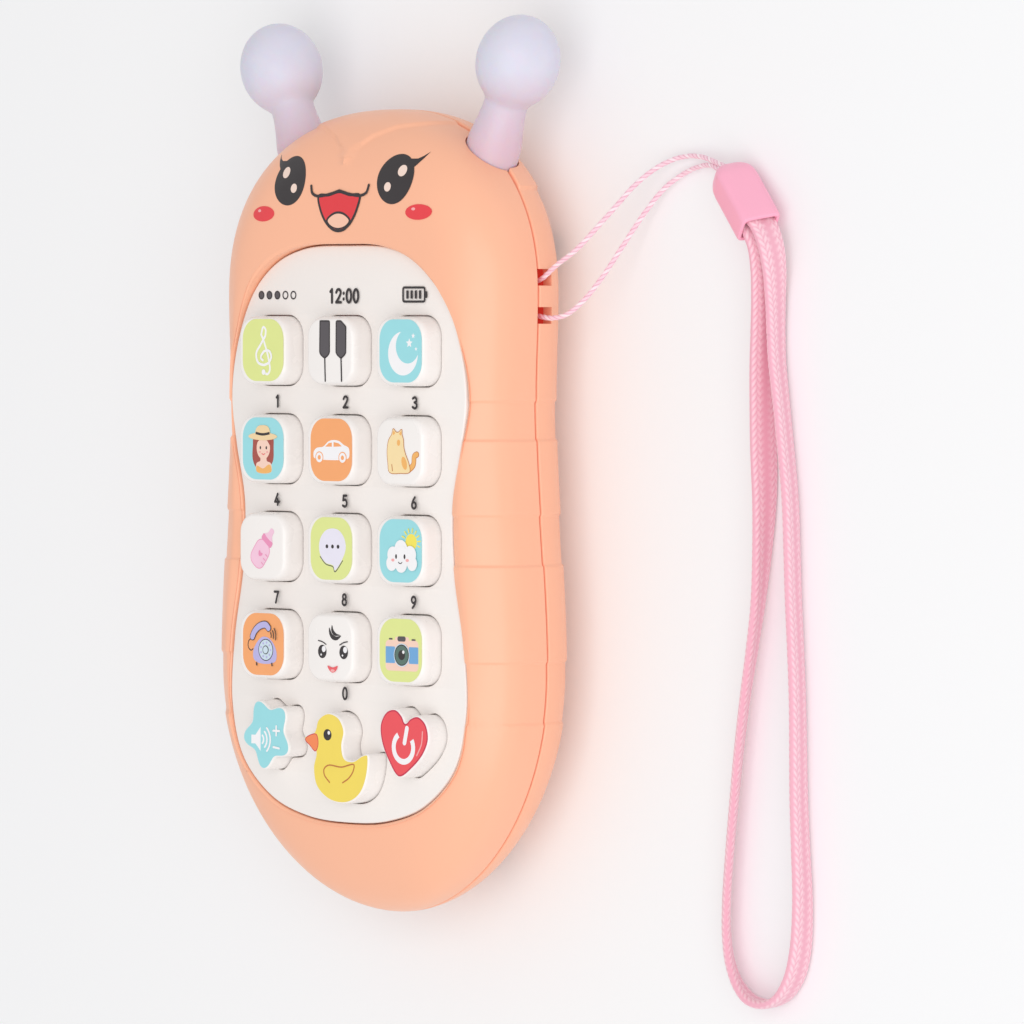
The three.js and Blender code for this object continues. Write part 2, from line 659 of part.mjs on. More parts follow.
// The flat strap's section, standing on its edge.
function strapSection() {
  const { wide, thick } = STRAP;
  const cut = 0.5;
  return [
    [wide / 2, thick / 2 - cut], [wide / 2 - cut, thick / 2], [cut - wide / 2, thick / 2],
    [-wide / 2, thick / 2 - cut], [-wide / 2, cut - thick / 2], [cut - wide / 2, -thick / 2],
    [wide / 2 - cut, -thick / 2], [wide / 2, cut - thick / 2],
  ];
}

// ---- assembly -----------------------------------------------------------------------------

const phone = new THREE.Group();

function addPart(name, shape, colour, roughness, metalness = 0, parent = phone) {
  const material = new THREE.MeshStandardMaterial({ color: COLOURS[colour], roughness, metalness });
  const geometry = shape.isBufferGeometry ? geometryOf(solid(shape)) : geometryOf(shape);
  const mesh = new THREE.Mesh(geometry, material);
  mesh.name = name;
  parent.add(mesh);
  return mesh;
}

addPart('front_shell', frontShell(), 'peach', 0.35);
addPart('back_shell', backShell(), 'peach', 0.35);
addPart('keypad_panel', keypadPanel(), 'ivory', 0.4);
for (const key of KEYS) {
  addPart(key.name, keyCap(key), 'ivory', 0.3).position.set(key.x, key.y, KEY_TOP);
}
addPart('key_mat', keyMat(), 'rubber', 0.8);
addPart('circuit_board', circuitBoard(), 'board', 0.6);
addPart('sound_chip', rod(4.5, BOARD_BOTTOM - 1.8, BOARD_BOTTOM - GAP, 0, 26, 14), 'black', 0.4);

addPart('speaker_basket', speakerBasket(), 'steel', 0.4, 0.8);
addPart('speaker_cone', speakerCone(), 'paper', 0.9);

addPart('battery_door', batteryDoor(), 'peach', 0.4);
const doorScrew = addPart('battery_door_screw', screw(2.7, 1.9, 1.3, 7.6), 'steel', 0.3, 0.9);
doorScrew.position.set(0, DOOR_SCREW_Y, 2.9);

const caseScrew = screw(2.8, 2, 1.3, 12);
CASE_SCREWS.forEach(([x, y], i) => {
  const part = addPart(`case_screw_${i + 1}`, caseScrew, 'steel', 0.3, 0.9);
  part.position.set(x, y, CASE_SCREW_LEDGE - GAP);
});
const boardScrew = screw(1.9, 1.4, 0.9, 5);
BOARD_SCREWS.forEach(([x, y], i) => {
  const part = addPart(`board_screw_${i + 1}`, boardScrew, 'steel', 0.3, 0.9);
  part.position.set(x, y, BOARD_BOTTOM - GAP);
});

// The first cell's nub faces up the phone and the second's faces down it.
const plate = 0.4;
const upEnd = BAY.high - GAP - plate; // inner face of the contacts by the head
const downEnd = BAY.low + GAP + plate; // inner face of the bridge by the door screw
const firstCell = addPart('battery_1', cell(), 'battery', 0.4, 0.3);
firstCell.rotation.x = -Math.PI / 2;
firstCell.position.set(-BATTERY_X, upEnd - GAP - BATTERY_LENGTH, BATTERY_Z);
const secondCell = addPart('battery_2', cell(), 'battery', 0.4, 0.3);
secondCell.rotation.x = Math.PI / 2;
secondCell.position.set(BATTERY_X, downEnd + GAP + BATTERY_LENGTH, BATTERY_Z);
const springLength = upEnd - downEnd - BATTERY_LENGTH - 3 * GAP;
const bridgeSpring = addPart('contact_spring_1', contactSpring(springLength), 'steel', 0.3, 0.9);
bridgeSpring.rotation.x = -Math.PI / 2;
bridgeSpring.position.set(-BATTERY_X, downEnd + GAP, BATTERY_Z);
const negativeSpring = addPart('contact_spring_2', contactSpring(springLength), 'steel', 0.3, 0.9);
negativeSpring.rotation.x = Math.PI / 2;
negativeSpring.position.set(BATTERY_X, upEnd - GAP, BATTERY_Z);
const contact = (x0, x1, y) => box(x0, x1, y, y + plate, BATTERY_Z - 5, BATTERY_Z + 5);
addPart('contact_bridge', contact(-12.5, 12.5, downEnd - plate), 'brass', 0.35, 0.9);
addPart('contact_positive', contact(-12.5, -2.5, upEnd), 'brass', 0.35, 0.9);
addPart('contact_negative', contact(2.5, 12.5, upEnd), 'brass', 0.35, 0.9);

// Leads from the bay's end wall and from the speaker's terminals up to the board.
const bayEnd = BAY.high + BAY.wall + GAP;
const boardFace = BOARD_BOTTOM - 2 * GAP;
const batteryLead = [[bayEnd + 0.5, 12], [bayEnd + 1.6, 15], [bayEnd + 2, boardFace]];
const speakerLead = [[SPEAKER_Y - 2.5, 6.9], [SPEAKER_Y - 7.5, 12], [SPEAKER_Y - 10, boardFace]];
const leads = [
  ['battery_lead_red', 'red', -BATTERY_X, batteryLead],
  ['battery_lead_black', 'black', BATTERY_X, batteryLead],
  ['speaker_lead_red', 'red', -9, speakerLead],
  ['speaker_lead_black', 'black', 9, speakerLead],
];
for (const [name, colour, x, route] of leads) {
  const along = route.map(([y, z]) => [x, y, z]);
  addPart(name, swept(circle(LEAD_RADIUS, 6), along, 6), colour, 0.6);
}

for (const side of [-1, 1]) {
  const mount = new THREE.Group();
  mount.position.set(side * ANTENNA.x, ANTENNA.y, PARTING_Z);
  mount.rotation.z = -side * degrees(ANTENNA.lean);
  phone.add(mount);
  const word = side < 0 ? 'left' : 'right';
  addPart(`antenna_${word}_root`, antennaRoot(), 'silicone', 0.5, 0, mount);
  addPart(`antenna_${word}`, antennaStem(), 'silicone', 0.5, 0, mount);
}

addPart('strap_cord_upper', swept(circle(CORD_RADIUS, 8), UPPER_CORD, 26), 'strap', 0.8);
addPart('strap_cord_lower', swept(circle(CORD_RADIUS, 8), LOWER_CORD, 26), 'strap', 0.8);
addPart('wrist_strap', swept(strapSection(), STRAP_ROUTE, 60), 'strap', 0.9);
const clasp = addPart('strap_clasp', claspBlock(), 'pink', 0.4);
clasp.rotation.order = 'ZYX';
clasp.rotation.set(degrees(CLASP.roll + 90), -degrees(CLASP.rise), degrees(CLASP.heading));
clasp.position.set(CLASP.x, CLASP.y, CLASP.z);

export default phone;
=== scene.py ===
"""Toy cell phone with a smiling bug's head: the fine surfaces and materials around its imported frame.

The phone lies on its back: +Z is out of the face, +Y is towards the antennae, and the strap is on
the +X side. Shapes are worked out in millimetres and become metres when their mesh is made.
"""
import math

import bpy
import numpy as np
from mathutils import Matrix, Vector
from mathutils.geometry import delaunay_2d_cdt, tessellate_polygon


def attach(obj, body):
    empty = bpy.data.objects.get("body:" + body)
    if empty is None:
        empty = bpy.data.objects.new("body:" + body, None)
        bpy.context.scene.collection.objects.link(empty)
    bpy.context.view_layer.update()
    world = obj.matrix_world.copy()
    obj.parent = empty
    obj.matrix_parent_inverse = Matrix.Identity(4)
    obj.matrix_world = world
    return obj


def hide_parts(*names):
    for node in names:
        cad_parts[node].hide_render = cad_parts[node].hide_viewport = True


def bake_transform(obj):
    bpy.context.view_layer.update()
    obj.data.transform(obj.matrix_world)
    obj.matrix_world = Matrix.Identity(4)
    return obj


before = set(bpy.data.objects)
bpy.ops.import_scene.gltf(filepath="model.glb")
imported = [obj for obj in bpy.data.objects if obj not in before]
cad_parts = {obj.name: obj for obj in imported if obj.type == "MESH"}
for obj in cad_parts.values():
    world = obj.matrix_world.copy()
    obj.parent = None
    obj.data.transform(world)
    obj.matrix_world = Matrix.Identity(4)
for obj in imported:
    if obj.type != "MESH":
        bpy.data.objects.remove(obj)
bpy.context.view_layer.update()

MM = 0.001

# ---- driving dimensions, as in the CAD model ----------------------------------------------

GAP = 0.3  # between pieces that touch
PARTING_Z = 15.5
WALL = 2.0

TOP_Y = 68.8
HEAD_Y = 33.0
NECK_Y = 14.0
BELLY_Y = -40.0
BOTTOM_Y = -87.1
HEAD_HALF = 39.9
NECK_HALF = 39.3
BELLY_HALF = 42.5
TOP_ROUND = 2.2
BOTTOM_ROUND = 1.95
HEAD_RISE = 2.6  # the head's crown stays high longer than its outline stays wide

FRONT = {"side": 1, "height": 17.3, "crown": 15.6, "power": 3.4, "soft": 1.4}
BACK = {"side": -1, "height": 17.1, "crown": 15.5, "power": 2.34, "soft": 0.6}

PANEL_TOP = 29.0
PANEL_BOTTOM = 27.0
PANEL_LEDGE = 1.5
PANEL_HALF = [
    (0, 42.7), (12, 42.2), (20.5, 39.4), (27, 34), (31.6, 25), (33.7, 14), (32.4, 4), (30, -7),
    (30.4, -20), (33, -34), (33.7, -47), (30.5, -57.5), (22, -65), (11.5, -68.4), (0, -69.2),
]

KEY_TOP = 33.5
KEY_BOTTOM = 24.9
KEY_FLANGE = 0.9
KEY_WIDE = 13.8
KEY_TALL = 13.4
KEY_CORNER = 4.0
KEY_COLUMN = 19.8
KEY_ROWS = [22.3, 3.1, -16.0, -35.1]
STAR_KEY = {"x": -18.2, "y": -52.5, "tip": 7.1, "valley": 5.1, "turn": 44}
DUCK_KEY = {"x": 1.5, "y": -56.3}
HEART_KEY = {"x": 20.9, "y": -53.0, "turn": -10}
HOLE_GAP = 0.22
TILE_SHIFT = (0.5, 0.1)  # the printing sits a little off the middle of each square key

BACK_FLAT = {"half": 14.0, "low": -50.0, "high": 44.0, "corner": 10.0}
BAY = {"half": 15.6, "low": -40.6, "high": 17.6, "top": 17.5, "wall": 1.5}
DOOR = {"half": 17.3, "low": -51.6, "high": 20.3, "bottom": 0.4, "top": 1.9}
DOOR_SCREW_Y = -46.7
SPEAKER_Y = 38.5
CASE_SCREWS = [(-27, 42), (27, 42), (-13, -76), (13, -76)]
CASE_SCREW_LEDGE = 9.5
# A screw's head radius and height, then its shank's radius and length.
CASE_SCREW = (2.8, 2.0, 1.3, 12.0)
DOOR_SCREW = (2.7, 1.9, 1.3, 7.6)

ANTENNA = {"x": 26.9, "y": 61.0, "lean": 22.9, "radius": 5.3, "neck": 4.2, "ball": 8.1, "tall": 9.2}
ANTENNA_LENGTH = 27.4

STRAP_SLOTS = [36.5, 29.2]
STRAP_SLOT = {"wide": 3.2, "bottom": 11.7, "inside": 34.0}

CORD_DIAMETER = 1.0
UPPER_CORD = [
    (36.4, 35.6, 13.5), (38.6, 36.3, 13.5), (42.1, 38.7, 13.2), (46.9, 41.9, 12.2),
    (50.2, 45.9, 10.2), (53, 50, 7.8), (55.7, 54, 5.4), (58.9, 57, 3.4), (62.4, 58.8, 2),
    (66.2, 59.5, 1.6), (70.5, 59.3, 2.2), (74, 58.6, 3), (76.8, 57.9, 3.8),
]
LOWER_CORD = [
    (36.4, 29.3, 13.4), (38.8, 28.9, 13.5), (41.3, 28.7, 13.4), (44.3, 29.3, 12.7),
    (47.3, 31.8, 11.2), (50, 36.2, 8.8), (52.9, 42.3, 6), (56.2, 48.4, 3.6),
    (60.3, 53.4, 2), (65.1, 56.3, 1.2), (70.4, 57.6, 1.9), (74, 57.6, 3), (76.4, 57, 3.8),
]

STRAP = {"wide": 6.0, "thick": 1.8}
STRAP_ROUTE = [
    (89, 44.7, 5.7), (90, 42, 5.4), (90, 38, 4.7), (89.1, 32, 3.7), (88.2, 23, 3.2),
    (88.1, 9, 3.2), (88.4, -5.5, 3.2), (87.9, -15, 3.2), (86.8, -24.5, 3.2), (85, -34, 3.2),
    (83, -43.5, 3.2), (81.4, -53, 3.2), (80.1, -62.5, 3.2), (78.9, -72, 3.2), (78, -81.5, 3.2),
    (78.1, -88, 3.2), (79.2, -93.3, 3.2), (81.6, -97.3, 3.2), (85, -99.8, 3.2),
    (89.2, -100.4, 3.2), (93.2, -99, 3.2), (96.3, -95.3, 3.2), (98, -90, 3.2), (98.6, -81, 3.2),
    (98.1, -71, 3.2), (97.6, -61.5, 3.2), (97.4, -52, 3.2), (97.2, -43, 3.2),
    (96.7, -33.5, 3.2), (96.1, -24, 3.2), (95.7, -14.5, 3.2), (95.2, -5, 3.2), (93.4, 9, 3.2),
    (91.6, 23, 3.2), (91.8, 32, 3.7), (92.5, 38, 4.7), (92.2, 42.5, 5.4), (90.7, 46.1, 5.7),
]
# How far the strap's width leans up from +X, in degrees, at shares of its length.
STRAP_LEAN = [
    (0, 111), (0.03, 106), (0.08, 98), (0.16, 96), (0.24, 62), (0.3, 52), (0.42, 44), (0.47, 52),
    (0.53, 84), (0.6, 74), (0.7, 68), (0.88, 68), (0.94, 76), (0.97, 96), (1, 111),
]

CLASP = {"x": 85.3, "y": 50.6, "z": 5.2, "heading": -48, "rise": 6, "roll": 22}
CLASP_SIZE = {"back": 8.8, "front": 6.6, "wide": 8.1, "thick": 6.7}
CLASP_MOUTH = {"wide": 6.6, "thick": 4.8, "deep": 8.5}

# ---- small tools --------------------------------------------------------------------------


def smooth_step(t):
    t = np.clip(t, 0, 1)
    return t * t * (3 - 2 * t)


def soft_minimum(a, b, softness):
    """The smaller of a and b, rounded where they meet."""
    overlap = np.maximum(softness - np.abs(a - b), 0) / softness
    return np.minimum(a, b) - overlap**2 * softness / 4


def smooth_line(points, closed=False, per_span=12):
    """A centripetal Catmull-Rom line through the points."""
    points = np.asarray(points, float)
    count = len(points)
    if closed:
        padded = np.vstack([points[-1:], points, points[:2]])
        spans = count
    else:
        padded = np.vstack([2 * points[0] - points[1], points, 2 * points[-1] - points[-2]])
        spans = count - 1
    line = []
    for i in range(spans):
        p0, p1, p2, p3 = padded[i : i + 4]
        d0, d1, d2 = (np.linalg.norm(b - a) ** 0.5 for a, b in ((p0, p1), (p1, p2), (p2, p3)))
        leave = ((p1 - p0) / d0 - (p2 - p0) / (d0 + d1) + (p2 - p1) / d1) * d1
        arrive = ((p2 - p1) / d1 - (p3 - p1) / (d1 + d2) + (p3 - p2) / d2) * d1
        t = np.arange(per_span)[:, None] / per_span
        line.append(
            p1 + leave * t + (3 * (p2 - p1) - 2 * leave - arrive) * t**2
            + (2 * (p1 - p2) + leave + arrive) * t**3
        )
    line = np.vstack(line)
    return line if closed else np.vstack([line, points[-1:]])


def path_lengths(points):
    steps = np.linalg.norm(np.diff(points, axis=0), axis=1)
    return np.concatenate([[0], np.cumsum(steps)])


def resample(points, count):
    """The same line as evenly spaced points."""
    lengths = path_lengths(points)
    wanted = np.linspace(0, lengths[-1], count)
    return np.column_stack([np.interp(wanted, lengths, points[:, k]) for k in range(points.shape[1])])


def grown(outline, distance):
    """A counter-clockwise outline with every point moved outwards."""
    outline = np.asarray(outline, float)
    along = np.roll(outline, -1, axis=0) - np.roll(outline, 1, axis=0)
    along /= np.linalg.norm(along, axis=1)[:, None]
    return outline + distance * np.column_stack([along[:, 1], -along[:, 0]])


def counter_clockwise(outline):
    x, y = outline.T
    area = np.sum(x * np.roll(y, -1) - np.roll(x, -1) * y)
    return outline if area > 0 else outline[::-1]


def ellipse(x, y, rx, ry=None, turn=0, count=36):
    angle = np.linspace(0, 2 * math.pi, count, endpoint=False)
    ry = rx if ry is None else ry
    flat = np.column_stack([rx * np.cos(angle), ry * np.sin(angle)])
    return turned(flat, turn) + (x, y)


def turned(points, degrees):
    cos, sin = math.cos(math.radians(degrees)), math.sin(math.radians(degrees))
    return np.asarray(points, float) @ np.array([[cos, sin], [-sin, cos]])


def arc(x, y, radius, start, end, count=20):
    angle = np.radians(np.linspace(start, end, count))
    return np.column_stack([x + radius * np.cos(angle), y + radius * np.sin(angle)])


def rounded_box(width, height, corner, x=0, y=0, per_corner=8):
    points = []
    for quarter, (side_x, side_y) in enumerate(((1, 1), (-1, 1), (-1, -1), (1, -1))):
        middle_x = x + side_x * (width / 2 - corner)
        middle_y = y + side_y * (height / 2 - corner)
        points.append(arc(middle_x, middle_y, corner, quarter * 90, quarter * 90 + 90, per_corner))
    return np.vstack(points)


def blob(points):
    return smooth_line(points, closed=True, per_span=8)


def link(name, points, faces, materials, body, face_materials=None, crease=35):
    """A mesh from points in millimetres, smooth up to the crease angle, riding on a body."""
    mesh = bpy.data.meshes.new(name)
    mesh.from_pydata((np.asarray(points, float) * MM).tolist(), [], faces)
    for material in materials:
        mesh.materials.append(material)
    if face_materials is not None:
        mesh.polygons.foreach_set("material_index", face_materials)
    mesh.validate()
    mesh.shade_smooth()
    mesh.set_sharp_from_angle(angle=math.radians(crease))
    piece = bpy.data.objects.new(name, mesh)
    bpy.context.scene.collection.objects.link(piece)
    if body:
        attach(piece, body)
    return piece


def loft(rings, wrap=False, cap_start=True, cap_end=True):
    """Points and faces of a skin through rings of equal count, each counter-clockwise."""
    rings = np.asarray(rings, float)
    count, size = rings.shape[:2]
    index = np.arange(count * size).reshape(count, size)
    following = np.roll(index, -1, axis=1)
    last = count if wrap else count - 1
    faces = []
    for r in range(last):
        upper = (r + 1) % count
        quads = np.column_stack([index[r], following[r], following[upper], index[upper]])
        faces += quads.tolist()
    if not wrap and cap_start:
        faces.append(index[0][::-1].tolist())
    if not wrap and cap_end:
        faces.append(index[-1].tolist())
    return rings.reshape(-1, 3), faces


def at_height(outline, z):
    return np.column_stack([outline, np.full(len(outline), z)])


def solid_prism(outline, low, high):
    return loft([at_height(outline, low), at_height(outline, high)])


def carve(piece, tools, operation="DIFFERENCE"):
    """Cuts solids out of a piece, or joins them on, and leaves one plain mesh."""
    for points, faces in tools:
        tool = link("tool", points, faces, [piece.data.materials[0]], None)
        change = piece.modifiers.new("carve", "BOOLEAN")
        change.operation = operation
        change.solver = "MANIFOLD"
        change.object = tool
        bpy.context.view_layer.update()
        shaped = piece.evaluated_get(bpy.context.evaluated_depsgraph_get())
        mesh = bpy.data.meshes.new_from_object(shaped)
        piece.modifiers.clear()
        piece.data = mesh
        bpy.data.objects.remove(tool)
    piece.data.shade_smooth()
    piece.data.set_sharp_from_angle(angle=math.radians(30))


def lathe(profile, count=48):
    """A turned solid about Z, from (radius, height) points, bottom to top, on the axis at both ends."""
    profile = np.asarray(profile, float)
    angle = np.linspace(0, 2 * math.pi, count, endpoint=False)
    rings = [
        np.column_stack([radius * np.cos(angle), radius * np.sin(angle), np.full(count, height)])
        for radius, height in profile[1:-1]
    ]
    points, faces = loft(rings, cap_start=False, cap_end=False)
    first, last = len(points), len(points) + 1
    end = len(points) - count
    points = np.vstack([points, [0, 0, profile[0, 1]], [0, 0, profile[-1, 1]]])
    for i in range(count):
        faces.append([(i + 1) % count, i, first])
        faces.append([end + i, end + (i + 1) % count, last])
    return points, faces


def placed(shape, matrix):
    """A shape's points moved by a matrix whose shift is in millimetres."""
    points, faces = shape
    return points @ np.array(matrix.to_3x3()).T + np.array(matrix.translation), faces


# ---- camera -------------------------------------------------------------------------------

CAMERA_YAW = 46.6  # from the face's normal towards +X
CAMERA_PITCH = 1.48  # towards +Y
CAMERA_DISTANCE = 1600.0
CAMERA_TARGET = (15.25, -9.16, -0.63)
CAMERA_SCALE = 5.13  # picture points per millimetre at the target
PICTURE = 1024


def make_camera():
    yaw, pitch = math.radians(CAMERA_YAW), math.radians(CAMERA_PITCH)
    back = Vector((
        math.sin(yaw) * math.cos(pitch), math.sin(pitch), math.cos(yaw) * math.cos(pitch),
    ))
    right = Vector((math.cos(yaw), 0, -math.sin(yaw)))
    up = back.cross(right)
    data = bpy.data.cameras.new("camera")
    data.sensor_width = 36
    data.lens = CAMERA_SCALE * CAMERA_DISTANCE * data.sensor_width / PICTURE
    data.clip_start = 0.1
    data.clip_end = 20
    camera = bpy.data.objects.new("camera", data)
    bpy.context.scene.collection.objects.link(camera)
    turn = Matrix((right, up, back)).transposed().to_4x4()
    place = (Vector(CAMERA_TARGET) + back * CAMERA_DISTANCE) * MM
    camera.matrix_world = Matrix.Translation(place) @ turn
    bpy.context.scene.camera = camera


make_camera()

# ---- materials ----------------------------------------------------------------------------


def linear(red, green, blue):
    """A display colour, 0 to 255, as the linear numbers that shaders use."""
    share = np.array([red, green, blue]) / 255
    curved = np.where(share <= 0.04045, share / 12.92, ((share + 0.055) / 1.055) ** 2.4)
    return (*(float(c) for c in curved), 1.0)


# A Mix node's colour sockets go by number, because its other sockets have the same names.
MIX_FIRST = 6
MIX_SECOND = 7
MIX_RESULT = 2


class Shader:
    """A new node material, with short names for the nodes that this script uses."""

    def __init__(self, name, colour, roughness, **sockets):
        self.material = bpy.data.materials.new(name)
        self.material.use_nodes = True
        self.tree = self.material.node_tree
        self.surface = self.tree.nodes["Principled BSDF"]
        self.surface.inputs["Base Color"].default_value = colour
        self.surface.inputs["Roughness"].default_value = roughness
        for socket, value in sockets.items():
            self.surface.inputs[socket.replace("_", " ")].default_value = value
        self.colour = colour
        self.place = self.node("ShaderNodeTexCoord").outputs["Object"]

    def node(self, kind, **values):
        made = self.tree.nodes.new(kind)
        for key, value in values.items():
            if hasattr(made, key):
                setattr(made, key, value)
            else:
                made.inputs[key.replace("_", " ")].default_value = value
        return made

    def wire(self, output, node, socket):
        self.tree.links.new(output, node.inputs[socket])

    def noise(self, size, detail=2.0):
        """Noise whose features are about size millimetres across."""
        made = self.node("ShaderNodeTexNoise", Scale=1 / (size * MM), Detail=detail)
        self.wire(self.place, made, "Vector")
        return made.outputs["Fac"]

    def mix(self, factor, first, second):
        made = self.node("ShaderNodeMix", data_type="RGBA")
        self.wire(factor, made, "Factor")
        for socket, value in ((MIX_FIRST, first), (MIX_SECOND, second)):
            if isinstance(value, tuple):
                made.inputs[socket].default_value = value
            else:
                self.wire(value, made, socket)
        return made.outputs[MIX_RESULT]

    def ramp(self, value, low, high, to_low=0.0, to_high=1.0):
        made = self.node("ShaderNodeMapRange", clamp=True)
        numbers = (("From Min", low), ("From Max", high), ("To Min", to_low), ("To Max", to_high))
        for socket, number in numbers:
            made.inputs[socket].default_value = number
        self.wire(value, made, "Value")
        return made.outputs["Result"]

    def mottle(self, amount, size=25.0):
        """Slow changes of tone over the surface."""
        darker = tuple(c * (1 - amount) for c in self.colour[:3]) + (1.0,)
        self.wire(self.mix(self.noise(size), darker, self.colour), self.surface, "Base Color")
        return self

    def rough(self, low, high, size=8.0):
        self.wire(self.ramp(self.noise(size, 4.0), 0.3, 0.7, low, high), self.surface, "Roughness")
        return self

    def bump(self, height, depth):
        made = self.node("ShaderNodeBump", Strength=1.0, Distance=depth * MM)
        self.wire(height, made, "Height")
        self.wire(made.outputs["Normal"], self.surface, "Normal")
        return self


GLOSS_SPREAD = 0.06


def moulded(name, colour, roughness, grain=0.012):
    """Moulded plastic: a faint unevenness of tone and gloss, and a fine orange peel."""
    shader = Shader(name, colour, roughness, Specular_IOR_Level=0.5)
    shader.mottle(0.03).rough(roughness - GLOSS_SPREAD, roughness + GLOSS_SPREAD)
    shader.bump(shader.noise(0.9, 3.0), grain)
    return shader.material


def printed(name, colour):
    """Ink on plastic: a little flatter than what it is printed on."""
    shader = Shader(name, colour, 0.38)
    shader.mottle(0.05, 3.0).rough(0.34, 0.44, 2.0)
    return shader.material


def metal(name, colour, roughness=0.3):
    shader = Shader(name, colour, roughness, Metallic=1.0)
    shader.mottle(0.15, 1.5).rough(roughness - 0.08, roughness + 0.12, 1.0)
    shader.bump(shader.noise(0.25, 4.0), 0.01)
    return shader.material


def glowing_lining():
    """The inside of the peach shells, red and glowing: a painted glow, an emission that stands in for light
    coming through their thin walls.
    """
    red = linear(214, 62, 50)
    shader = Shader("peach_painted_glow", red, 0.7, Emission_Color=red, Emission_Strength=0.45)
    shader.mottle(0.2, 6.0).bump(shader.noise(1.0), 0.02)
    return shader.material


def silicone():
    """Cloudy silicone, paler in the ball, with a painted rosy glow towards the root that stands in for the
    peach shell shining through it.
    """
    shader = Shader(
        "silicone", linear(222, 221, 234), 0.42, Subsurface_Weight=0.35, Subsurface_Scale=0.004,
    )
    # Painted glow: a rosy tint at the root, for light from the peach shell inside.
    painted_peach_glow = linear(219, 192, 205)
    height = shader.node("ShaderNodeSeparateXYZ")
    shader.wire(shader.place, height, "Vector")
    root_y, ball_y = (ANTENNA["y"] + 1) * MM, (ANTENNA["y"] + 15) * MM
    share = shader.ramp(height.outputs["Y"], root_y, ball_y)
    cloudy = shader.mix(shader.noise(6.0, 3.0), linear(212, 211, 228), shader.colour)
    shader.wire(shader.mix(share, painted_peach_glow, cloudy), shader.surface, "Base Color")
    shader.rough(0.36, 0.5, 4.0)
    shader.bump(shader.noise(0.7, 3.0), 0.02)
    return shader.material


def braid_fabric(name, light, dark):
    """Yarn: darker in the hollows of the braid, where the stored relief is low, which is painted shade; with
    fine fibres and a soft sheen.
    """
    shader = Shader(name, light, 0.85, Sheen_Weight=0.35, Sheen_Roughness=0.4)
    relief = shader.node("ShaderNodeAttribute", attribute_name="relief").outputs["Fac"]
    # Painted shade: the darker colour fills the braid's hollows.
    yarn_with_painted_shade = shader.mix(shader.ramp(relief, 0.1, 0.75), dark, light)
    soft = shader.mix(shader.ramp(shader.noise(0.3, 4.0), 0.3, 0.7, 0.0, 0.12), yarn_with_painted_shade, dark)
    shader.wire(soft, shader.surface, "Base Color")
    shader.bump(shader.noise(0.16, 3.0), 0.05)
    return shader.material


def rubbery(name, colour):
    shader = Shader(name, colour, 0.75)
    shader.mottle(0.12, 6.0).rough(0.65, 0.85)
    shader.bump(shader.noise(0.4, 3.0), 0.03)
    return shader.material


def laminate():
    """Circuit board: green lacquer over glass cloth, with copper showing a little lighter."""
    shader = Shader("laminate", linear(38, 104, 66), 0.35)
    tracks = shader.node("ShaderNodeTexBrick", Scale=1 / (40 * MM), Mortar_Size=0.012)
    shader.wire(shader.place, tracks, "Vector")
    copper = shader.mix(tracks.outputs["Fac"], linear(34, 96, 60), linear(72, 132, 84))
    shader.wire(copper, shader.surface, "Base Color")
    shader.bump(tracks.outputs["Fac"], 0.03)
    return shader.material


def cell_sleeve():
    """A plain printed sleeve: a dark body and a lighter band at one end of the cell."""
    shader = Shader("cell_sleeve", linear(96, 130, 84), 0.3, Metallic=0.4)
    place = shader.node("ShaderNodeSeparateXYZ")
    shader.wire(shader.place, place, "Vector")
    band = shader.ramp(place.outputs["Y"], 0.0005, 0.001)
    shader.wire(shader.mix(band, shader.colour, linear(190, 192, 188)), shader.surface, "Base Color")
    shader.rough(0.22, 0.36)
    shader.bump(shader.noise(0.5, 2.0), 0.01)
    return shader.material


def paper_cone():
    shader = Shader("paper_cone", linear(74, 70, 68), 0.9)
    shader.mottle(0.35, 1.0)
    shader.bump(shader.noise(0.2, 5.0), 0.05)
    return shader.material


def white_floor():
    """White paper, lit a little from behind so that shadows on it stay faint."""
    white = linear(235, 235, 236)
    shader = Shader("white_floor", white, 0.9, Emission_Color=white, Emission_Strength=0.12)
    shader.bump(shader.noise(2.0), 0.01)
    return shader.material


PEACH = moulded("peach_plastic", linear(255, 189, 155), 0.36)
PEACH_PAINTED_GLOW = glowing_lining()
IVORY = moulded("ivory_plastic", linear(246, 240, 236), 0.34)
KEY_WHITE = moulded("key_plastic", linear(248, 243, 240), 0.26, grain=0.006)
CLASP_PINK = moulded("clasp_plastic", linear(255, 178, 203), 0.34)
STEEL = metal("zinc_steel", linear(190, 192, 197))
BRASS = metal("brass", linear(201, 168, 90))
SILICONE = silicone()
# The second colour of each yarn is painted shade for the hollows of its braid.
STRAP_YARN = braid_fabric("strap_yarn", linear(255, 214, 224), linear(243, 178, 196))
CORD_WHITE = braid_fabric("cord_white", linear(255, 236, 242), linear(240, 190, 206))
CORD_PINK = braid_fabric("cord_pink", linear(253, 216, 228), linear(236, 176, 196))

INK_COLOURS = {
    "black": (52, 46, 48), "grey": (88, 83, 87), "white": (250, 248, 250), "red": (231, 58, 66),
    "lime": (228, 236, 150), "sky": (158, 224, 231), "orange": (252, 172, 112),
    "yellow": (248, 222, 96), "beak": (249, 140, 88), "brown": (196, 120, 62),
    "auburn": (170, 82, 72), "skin": (252, 214, 196), "straw": (246, 216, 168),
    "cream": (252, 226, 172), "ginger": (247, 184, 104), "rose": (250, 204, 226),
    "deep_rose": (240, 150, 190), "pale_lilac": (238, 234, 248), "sun": (250, 234, 96),
    "lavender": (190, 184, 232), "ice": (210, 228, 240), "blue": (116, 172, 222),
    "lens": (92, 118, 108), "coral": (240, 100, 106), "blush": (250, 176, 176),
    "heart": (241, 84, 92), "cherry": (205, 48, 78), "tongue": (253, 200, 174),
    "cheek": (236, 64, 72), "glint": (249, 222, 208),
}
_inks = {}


def ink(colour):
    if colour not in _inks:
        _inks[colour] = printed("ink_" + colour, linear(*INK_COLOURS[colour]))
    return _inks[colour]


# ---- cord ---------------------------------------------------------------------------------

